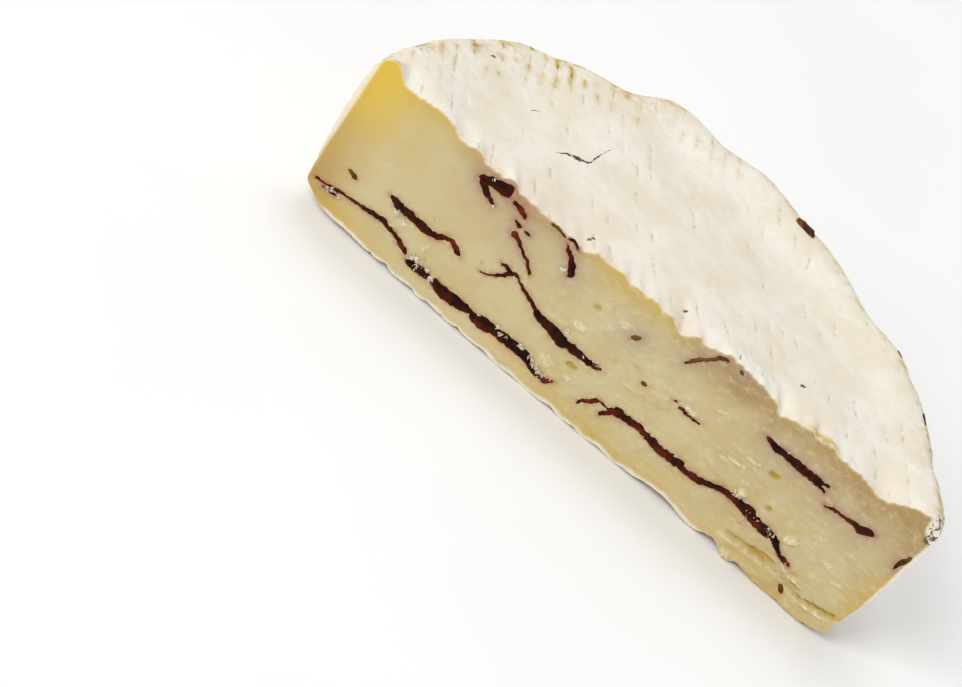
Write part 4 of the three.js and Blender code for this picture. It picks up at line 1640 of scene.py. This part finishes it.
@dataclass(frozen=True)
class CurdCrumbsAndGlints:
    """Crumbs of paste that the knife left on the slices and beside them, and white flecks on the slices as
    painted highlights.

    Each heap holds x, z, how many crumbs, how far they spread and their half size. The shares multiply these
    for all heaps alike.
    """

    form: WheelForm
    seed: int = 7
    lift: float = 0.14
    count_share: float = 1.5
    spread_share: float = 0.75
    size_share: float = 0.6
    size_varies: float = 0.45
    lumpy: float = 0.55
    flat: float = 0.7
    tilts: int = 5
    turns: int = 7
    heaps: tuple[tuple[float, float, int, float, float], ...] = (
        # The first heap is a strip of white flecks on the low left slice: a painted highlight.
        (-52.0, 4.75, 16, 0.7, 0.14), (-50.4, 4.95, 8, 0.3, 0.14), (-34.6, 5.3, 16, 0.5, 0.15),
        (-33.4, 5.6, 14, 0.5, 0.17), (-33.2, 6.6, 6, 0.4, 0.13), (-31.6, 5.2, 10, 0.5, 0.15),
        (-30.1, 4.3, 16, 0.4, 0.17), (-33.2, 4.2, 8, 0.6, 0.12), (-20.3, 5.1, 4, 0.25, 0.15),
        (-16.5, 5.7, 9, 0.25, 0.18), (-15.7, 4.9, 6, 0.2, 0.16), (-14.6, 5.2, 3, 0.2, 0.12),
        (-11.7, 5.8, 12, 0.3, 0.19), (-9.3, 5.4, 8, 0.4, 0.14), (-8.3, 4.8, 16, 0.5, 0.16),
        (-7.0, 4.5, 16, 0.5, 0.16), (-5.8, 4.2, 12, 0.4, 0.14), (-4.6, 4.6, 6, 0.3, 0.12),
        (-41.4, 9.6, 8, 0.5, 0.15), (-39.9, 9.5, 6, 0.4, 0.14), (-37.8, 9.7, 5, 0.3, 0.13),
        # The heap at -2.9, 11.6 is a painted highlight on the centre slice.
        (-35.8, 13.0, 4, 0.4, 0.13), (-7.7, 13.4, 6, 0.3, 0.15), (-2.9, 11.6, 5, 0.2, 0.1),
        (-0.3, 12.2, 8, 0.5, 0.12), (19.2, 8.6, 5, 0.2, 0.14), (31.2, 10.4, 9, 0.6, 0.17),
        # The heaps from 34.2 to 39.9 are white flecks on the low right slice: painted glints.
        (34.2, 9.6, 3, 0.6, 0.09), (36.2, 9.3, 5, 0.7, 0.09), (38.4, 9.2, 9, 0.6, 0.1),
        (39.9, 9.3, 6, 0.3, 0.11), (32.5, 22.6, 7, 0.25, 0.11), (-29.9, 21.8, 4, 0.2, 0.14),
        (-14.5, 21.5, 7, 0.35, 0.17), (15.5, 16.3, 8, 0.8, 0.14), (8.9, 12.6, 3, 0.3, 0.12),
        (-32.6, 25.6, 4, 0.3, 0.08), (44.0, 6.9, 5, 0.4, 0.08),
    )

    def build(self, curd_and_glint: bpy.types.Material) -> bpy.types.Object:
        """Builds all crumbs and painted-highlight flecks as one object.

        Args:
            curd_and_glint: the material of the crumbs and of the painted-highlight flecks.

        Returns:
            The crumbs' object.
        """
        random = np.random.default_rng(self.seed)
        counts = [round(self.count_share * heap[2]) for heap in self.heaps]
        heaps = np.repeat(np.array(self.heaps), counts, axis=0)
        places = heaps[:, :2] + random.normal(0.0, self.spread_share, (len(heaps), 2)) * heaps[:, 3:4]
        sizes = self.size_share * heaps[:, 4] * np.exp(random.normal(0.0, self.size_varies, len(heaps)))
        seats = self.form.cut(*places.T) - self.lift
        parts = [self.crumb((x, y, z), size, random) for (x, z), y, size in zip(places, seats, sizes)]
        return join(make_object("curd_crumbs_and_glints", *merged(parts)), curd_and_glint)

    def crumb(self, place: Sequence[float], size: float, random: np.random.Generator) -> Shell:
        """One uneven crumb, half sunk in what it lies on.

        Args:
            place: its middle.
            size: half its mean size.
            random: the source of its unevenness.

        Returns:
            Its points and faces.
        """
        tilt = np.linspace(0.15, math.pi - 0.15, self.tilts)[:, None]
        turn = np.linspace(0.0, 2 * math.pi, self.turns, endpoint=False)
        ball = np.stack(
            [np.sin(tilt) * np.cos(turn), np.sin(tilt) * np.sin(turn), np.cos(tilt) + 0.0 * turn], axis=-1
        )
        ball = ball * (1.0 + self.lumpy * random.uniform(-1.0, 1.0, (self.tilts, self.turns, 1)))
        ball = ball * size * np.array([random.uniform(0.9, 2.6), self.flat, random.uniform(0.5, 1.1)])
        slope = random.uniform(-1.4, 1.4)
        x = ball[..., 0] * math.cos(slope) - ball[..., 2] * math.sin(slope)
        z = ball[..., 0] * math.sin(slope) + ball[..., 2] * math.cos(slope)
        return skin(np.stack([x, ball[..., 1], z], axis=-1) + np.array(place))


@dataclass(frozen=True)
class RindCracks:
    """Cracks and specks in the bloom of the top face, each a line of x, y and width."""

    form: WheelForm
    thickness: float = 0.05
    step: float = 0.12
    least_half: float = 0.02
    wander: float = 0.2
    lines: tuple[Line, ...] = (
        ((-28.0, 17.4, 0.05), (-26.8, 19.2, 0.3), (-25.3, 20.9, 0.2), (-24.0, 21.4, 0.4), (-22.9, 22.1, 0.25),
         (-22.5, 24.6, 0.2), (-22.2, 27.4, 0.12), (-21.4, 30.6, 0.05)),
        ((-26.2, 19.6, 0.1), (-25.0, 20.6, 0.7), (-23.9, 21.2, 0.5), (-22.8, 21.8, 0.15)),
        ((-35.6, 23.0, 0.05), (-35.0, 24.2, 0.14), (-34.4, 24.8, 0.05)),
        ((-14.7, 3.0, 0.4), (-14.3, 3.8, 0.8), (-14.1, 4.6, 0.35)),
        ((16.6, 1.0, 0.06), (16.4, 1.8, 0.25), (16.2, 2.8, 0.06)),
        ((4.6, 4.4, 0.15), (4.9, 4.9, 0.3), (5.2, 5.5, 0.1)),
        ((27.2, 9.6, 0.15), (27.6, 10.3, 0.4), (28.2, 10.8, 0.15)),
        ((-46.6, 25.2, 0.2), (-46.2, 25.8, 0.5), (-45.8, 26.3, 0.2)),
    )

    def build(self, dust: bpy.types.Material) -> bpy.types.Object:
        """Builds all cracks as one object of thin slivers that follow the top face.

        Args:
            dust: the cracks' material.

        Returns:
            The cracks' object.
        """
        parts = []
        for line in self.lines:
            steps = smooth_line(line, self.step)
            run = unit_run(steps)
            uneven = 1.1 + 1.8 * flat_noise(steps[:, 0], steps[:, 1], 0.6, 71)
            half = np.maximum(steps[:, 2] / 2 * uneven, self.least_half)
            steps[:, :2] += self.wander * flat_noise(steps[:, :2], 5.0, 0.7, 72)
            ring = []
            for share, lift in ((-1.0, 0.0), (0.0, self.thickness), (1.0, 0.0), (0.0, -2.0 * self.thickness)):
                x = steps[:, 0] - run[:, 1] * half * share
                y = steps[:, 1] + run[:, 0] * half * share
                ring.append(np.column_stack([x, y, self.form.top_skin(x, y) + lift]))
            parts.append(skin(np.stack(ring, axis=1)))
        return join(make_object("rind_cracks", *merged(parts)), dust)


@dataclass(frozen=True)
class DriedSliver:
    """A dried sliver of filling that breaks through the rind.

    It stands at an angle round the rim and a distance inside it, leans outwards and slopes along its length.
    Angles are in degrees.
    """

    form: WheelForm
    at: float
    inside: float
    lean: float
    length: float
    thickness: float
    sunk: float
    proud: float
    slope: float = 0.0
    step: float = 0.2
    rows: int = 14
    end_taper: float = 0.4
    uneven_face: float = 0.14
    uneven_edge: float = 0.25

    def shell(self) -> Shell:
        """Forms the sliver as a ragged plate that stands out of the rind.

        Returns:
            Its points and faces.
        """
        along = np.linspace(-0.5, 0.5, max(8, int(self.length / self.step))) * self.length
        out = np.linspace(-self.sunk, self.proud, self.rows)
        loop = [(r, 1.0) for r in out] + [(r, -1.0) for r in out[::-1]]
        taper = 1.0 - self.end_taper * smooth(0.6, 1.0, np.abs(along) / (0.5 * self.length))
        local = np.array([[(r * t if r > 0 else r, p, s * self.thickness / 2 * t) for r, s in loop]
                          for p, t in zip(along, taper)])
        flat = local.reshape(-1, 3)
        face_noise = noise(flat, 1.1, 81).reshape(local.shape[:2])
        local[..., 2] += self.uneven_face * face_noise * np.sign(local[..., 2])
        edge_noise = noise(flat, 0.9, 82).reshape(local.shape[:2])
        local[..., 0] += self.uneven_edge * edge_noise * (local[..., 0] > 0)
        local[..., 0] += local[..., 1] * math.tan(math.radians(self.slope))
        angle, lean = math.radians(self.at), math.radians(self.lean)
        outward = np.array([math.cos(angle), math.sin(angle), 0.0])
        sideways = np.array([-math.sin(angle), math.cos(angle), 0.0])
        upward = np.array([0.0, 0.0, 1.0])
        root = (float(self.form.rim(np.array([angle]))[0]) - self.inside) * outward
        root = root + self.form.top(root[:1], root[1:2])[0] * upward
        stem = math.cos(lean) * outward + math.sin(lean) * upward
        face = math.cos(lean) * upward - math.sin(lean) * outward
        return skin(root + local[..., :1] * stem + local[..., 1:2] * sideways + local[..., 2:] * face)


@dataclass(frozen=True)
class DriedFilling:
    """The dried slivers: the large one at the back, inside the rim, and small flakes near the right end."""

    form: WheelForm

    def build(self, dried: bpy.types.Material) -> list[bpy.types.Object]:
        """Builds the slivers.

        Args:
            dried: their material.

        Returns:
            The large sliver's object and one for all flakes.
        """
        large = DriedSliver(
            self.form, at=77.0, inside=4.0, lean=72.0, length=4.2, thickness=1.0, sunk=3.6, proud=0.8
        )
        thin = {"lean": 60.0, "thickness": 0.3, "sunk": 1.6, "proud": -0.1}
        flakes = (
            DriedSliver(self.form, at=30.5, inside=1.7, length=2.8, slope=4.0, **thin),
            DriedSliver(self.form, at=47.0, inside=1.8, length=1.6, **thin),
        )
        pieces = [
            make_object("rim_sliver_dried", *large.shell()),
            make_object("rind_flakes_dried", *merged([flake.shell() for flake in flakes])),
        ]
        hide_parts("rim_sliver")
        return [join(piece, dried) for piece in pieces]


# The studio


@dataclass(frozen=True)
class Studio:
    """The pale floor, the soft lights and the camera.

    Lengths are in millimetres, and in metres for the lights and the camera's clipping.
    """

    photo_width: float = 962.0
    px_per_mm: float = 6.1
    elevation: float = 28.1
    roll: float = 40.4
    distance: float = 950.0
    sensor: float = 36.0
    aim_right: float = -17.0
    aim_up: float = 1.0
    clip: tuple[float, float] = (0.05, 20.0)
    floor_half: float = 3000.0
    light_side: float = 0.9
    light_aim: tuple[float, float, float] = (0.0, 0.0, 0.015)
    room: str = "#f8f8f7"
    room_strength: float = 0.57

    def camera(self) -> bpy.types.Object:
        """Places the camera so that the cheese falls in the picture as in the photograph.

        Returns:
            The camera.
        """
        tilt, roll = math.radians(self.elevation), math.radians(self.roll)
        right = Vector((1.0, 0.0, 0.0))
        upward = Vector((0.0, math.sin(tilt), math.cos(tilt)))
        ahead = Vector((0.0, math.cos(tilt), -math.sin(tilt)))
        across = right * math.cos(roll) + upward * math.sin(roll)
        up = upward * math.cos(roll) - right * math.sin(roll)
        aim = Vector(to_frame(np.zeros(3))) + (right * self.aim_right + upward * self.aim_up) * MM
        data = bpy.data.cameras.new("camera")
        data.sensor_width = self.sensor
        data.lens = self.sensor * self.distance / (self.photo_width / self.px_per_mm)
        data.clip_start, data.clip_end = self.clip
        camera = bpy.data.objects.new("camera", data)
        place = Matrix((across, up, -ahead)).transposed().to_4x4()
        place.translation = aim - ahead * self.distance * MM
        camera.matrix_world = place
        bpy.context.scene.collection.objects.link(camera)
        bpy.context.scene.camera = camera
        return camera

    def floor(self, paper: bpy.types.Material) -> bpy.types.Object:
        """Lays the floor under the cheese.

        Args:
            paper: the floor's material.

        Returns:
            The floor's object.
        """
        half = self.floor_half
        corners = np.array([(-half, -half, 0.0), (half, -half, 0.0), (half, half, 0.0), (-half, half, 0.0)])
        floor = make_object("floor", corners, [[0, 1, 2, 3]])
        floor.data.materials.append(paper)
        return floor

    def light(self, name: str, place: Sequence[float], power: float) -> bpy.types.Object:
        """Adds a square soft light that faces the cheese.

        Args:
            name: the light's name.
            place: where it stands, in metres.
            power: its power, in watts.

        Returns:
            The light.
        """
        data = bpy.data.lights.new(name, "AREA")
        data.size, data.energy = self.light_side, power
        lamp = bpy.data.objects.new(name, data)
        lamp.location = place
        towards = Vector(self.light_aim) - Vector(place)
        lamp.rotation_euler = towards.to_track_quat("-Z", "Y").to_euler()
        bpy.context.scene.collection.objects.link(lamp)
        return lamp

    def lights(self) -> None:
        """Sets up a light above and behind, a stronger one in front on the left, and a pale room."""
        self.light("key", (-0.3, 0.55, 1.4), power=5.6)
        self.light("front", (-0.75, -1.2, 1.0), power=15.0)
        world = bpy.data.worlds.new("pale_room")
        world.use_nodes = True
        room = world.node_tree.nodes["Background"]
        room.inputs["Color"].default_value = linear(self.room)
        room.inputs["Strength"].default_value = self.room_strength
        bpy.context.scene.world = world
        bpy.context.scene.view_settings.view_transform = "Standard"


def report(piece: bpy.types.Object) -> None:
    """Logs a piece's name and its size in triangles."""
    LOG.info("%s: %d triangles", piece.name, sum(len(face.vertices) - 2 for face in piece.data.polygons))


def main() -> None:
    """Builds the studio, the cheese, its filling and its crumbs."""
    logging.basicConfig(level=logging.INFO, format="%(name)s %(message)s")
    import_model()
    studio = Studio()
    studio.camera()
    studio.floor(STUDIO_PAPER.build())
    studio.lights()
    form = WheelForm()
    filling = Filling(form)
    pieces = [
        CheeseBody(form, filling).build(BLOOMY_RIND.build(), RIPENED_PASTE.build()),
        *filling.build(MOIST_FILLING.build()),
        CurdCrumbsAndGlints(form).build(CURD_CRUMB_AND_GLINT.build()),
        RindCracks(form).build(CRACK_DUST.build()),
        *DriedFilling(form).build(DRIED_FILLING.build()),
    ]
    for piece in pieces:
        report(piece)


if __name__ == "__main__":
    main()
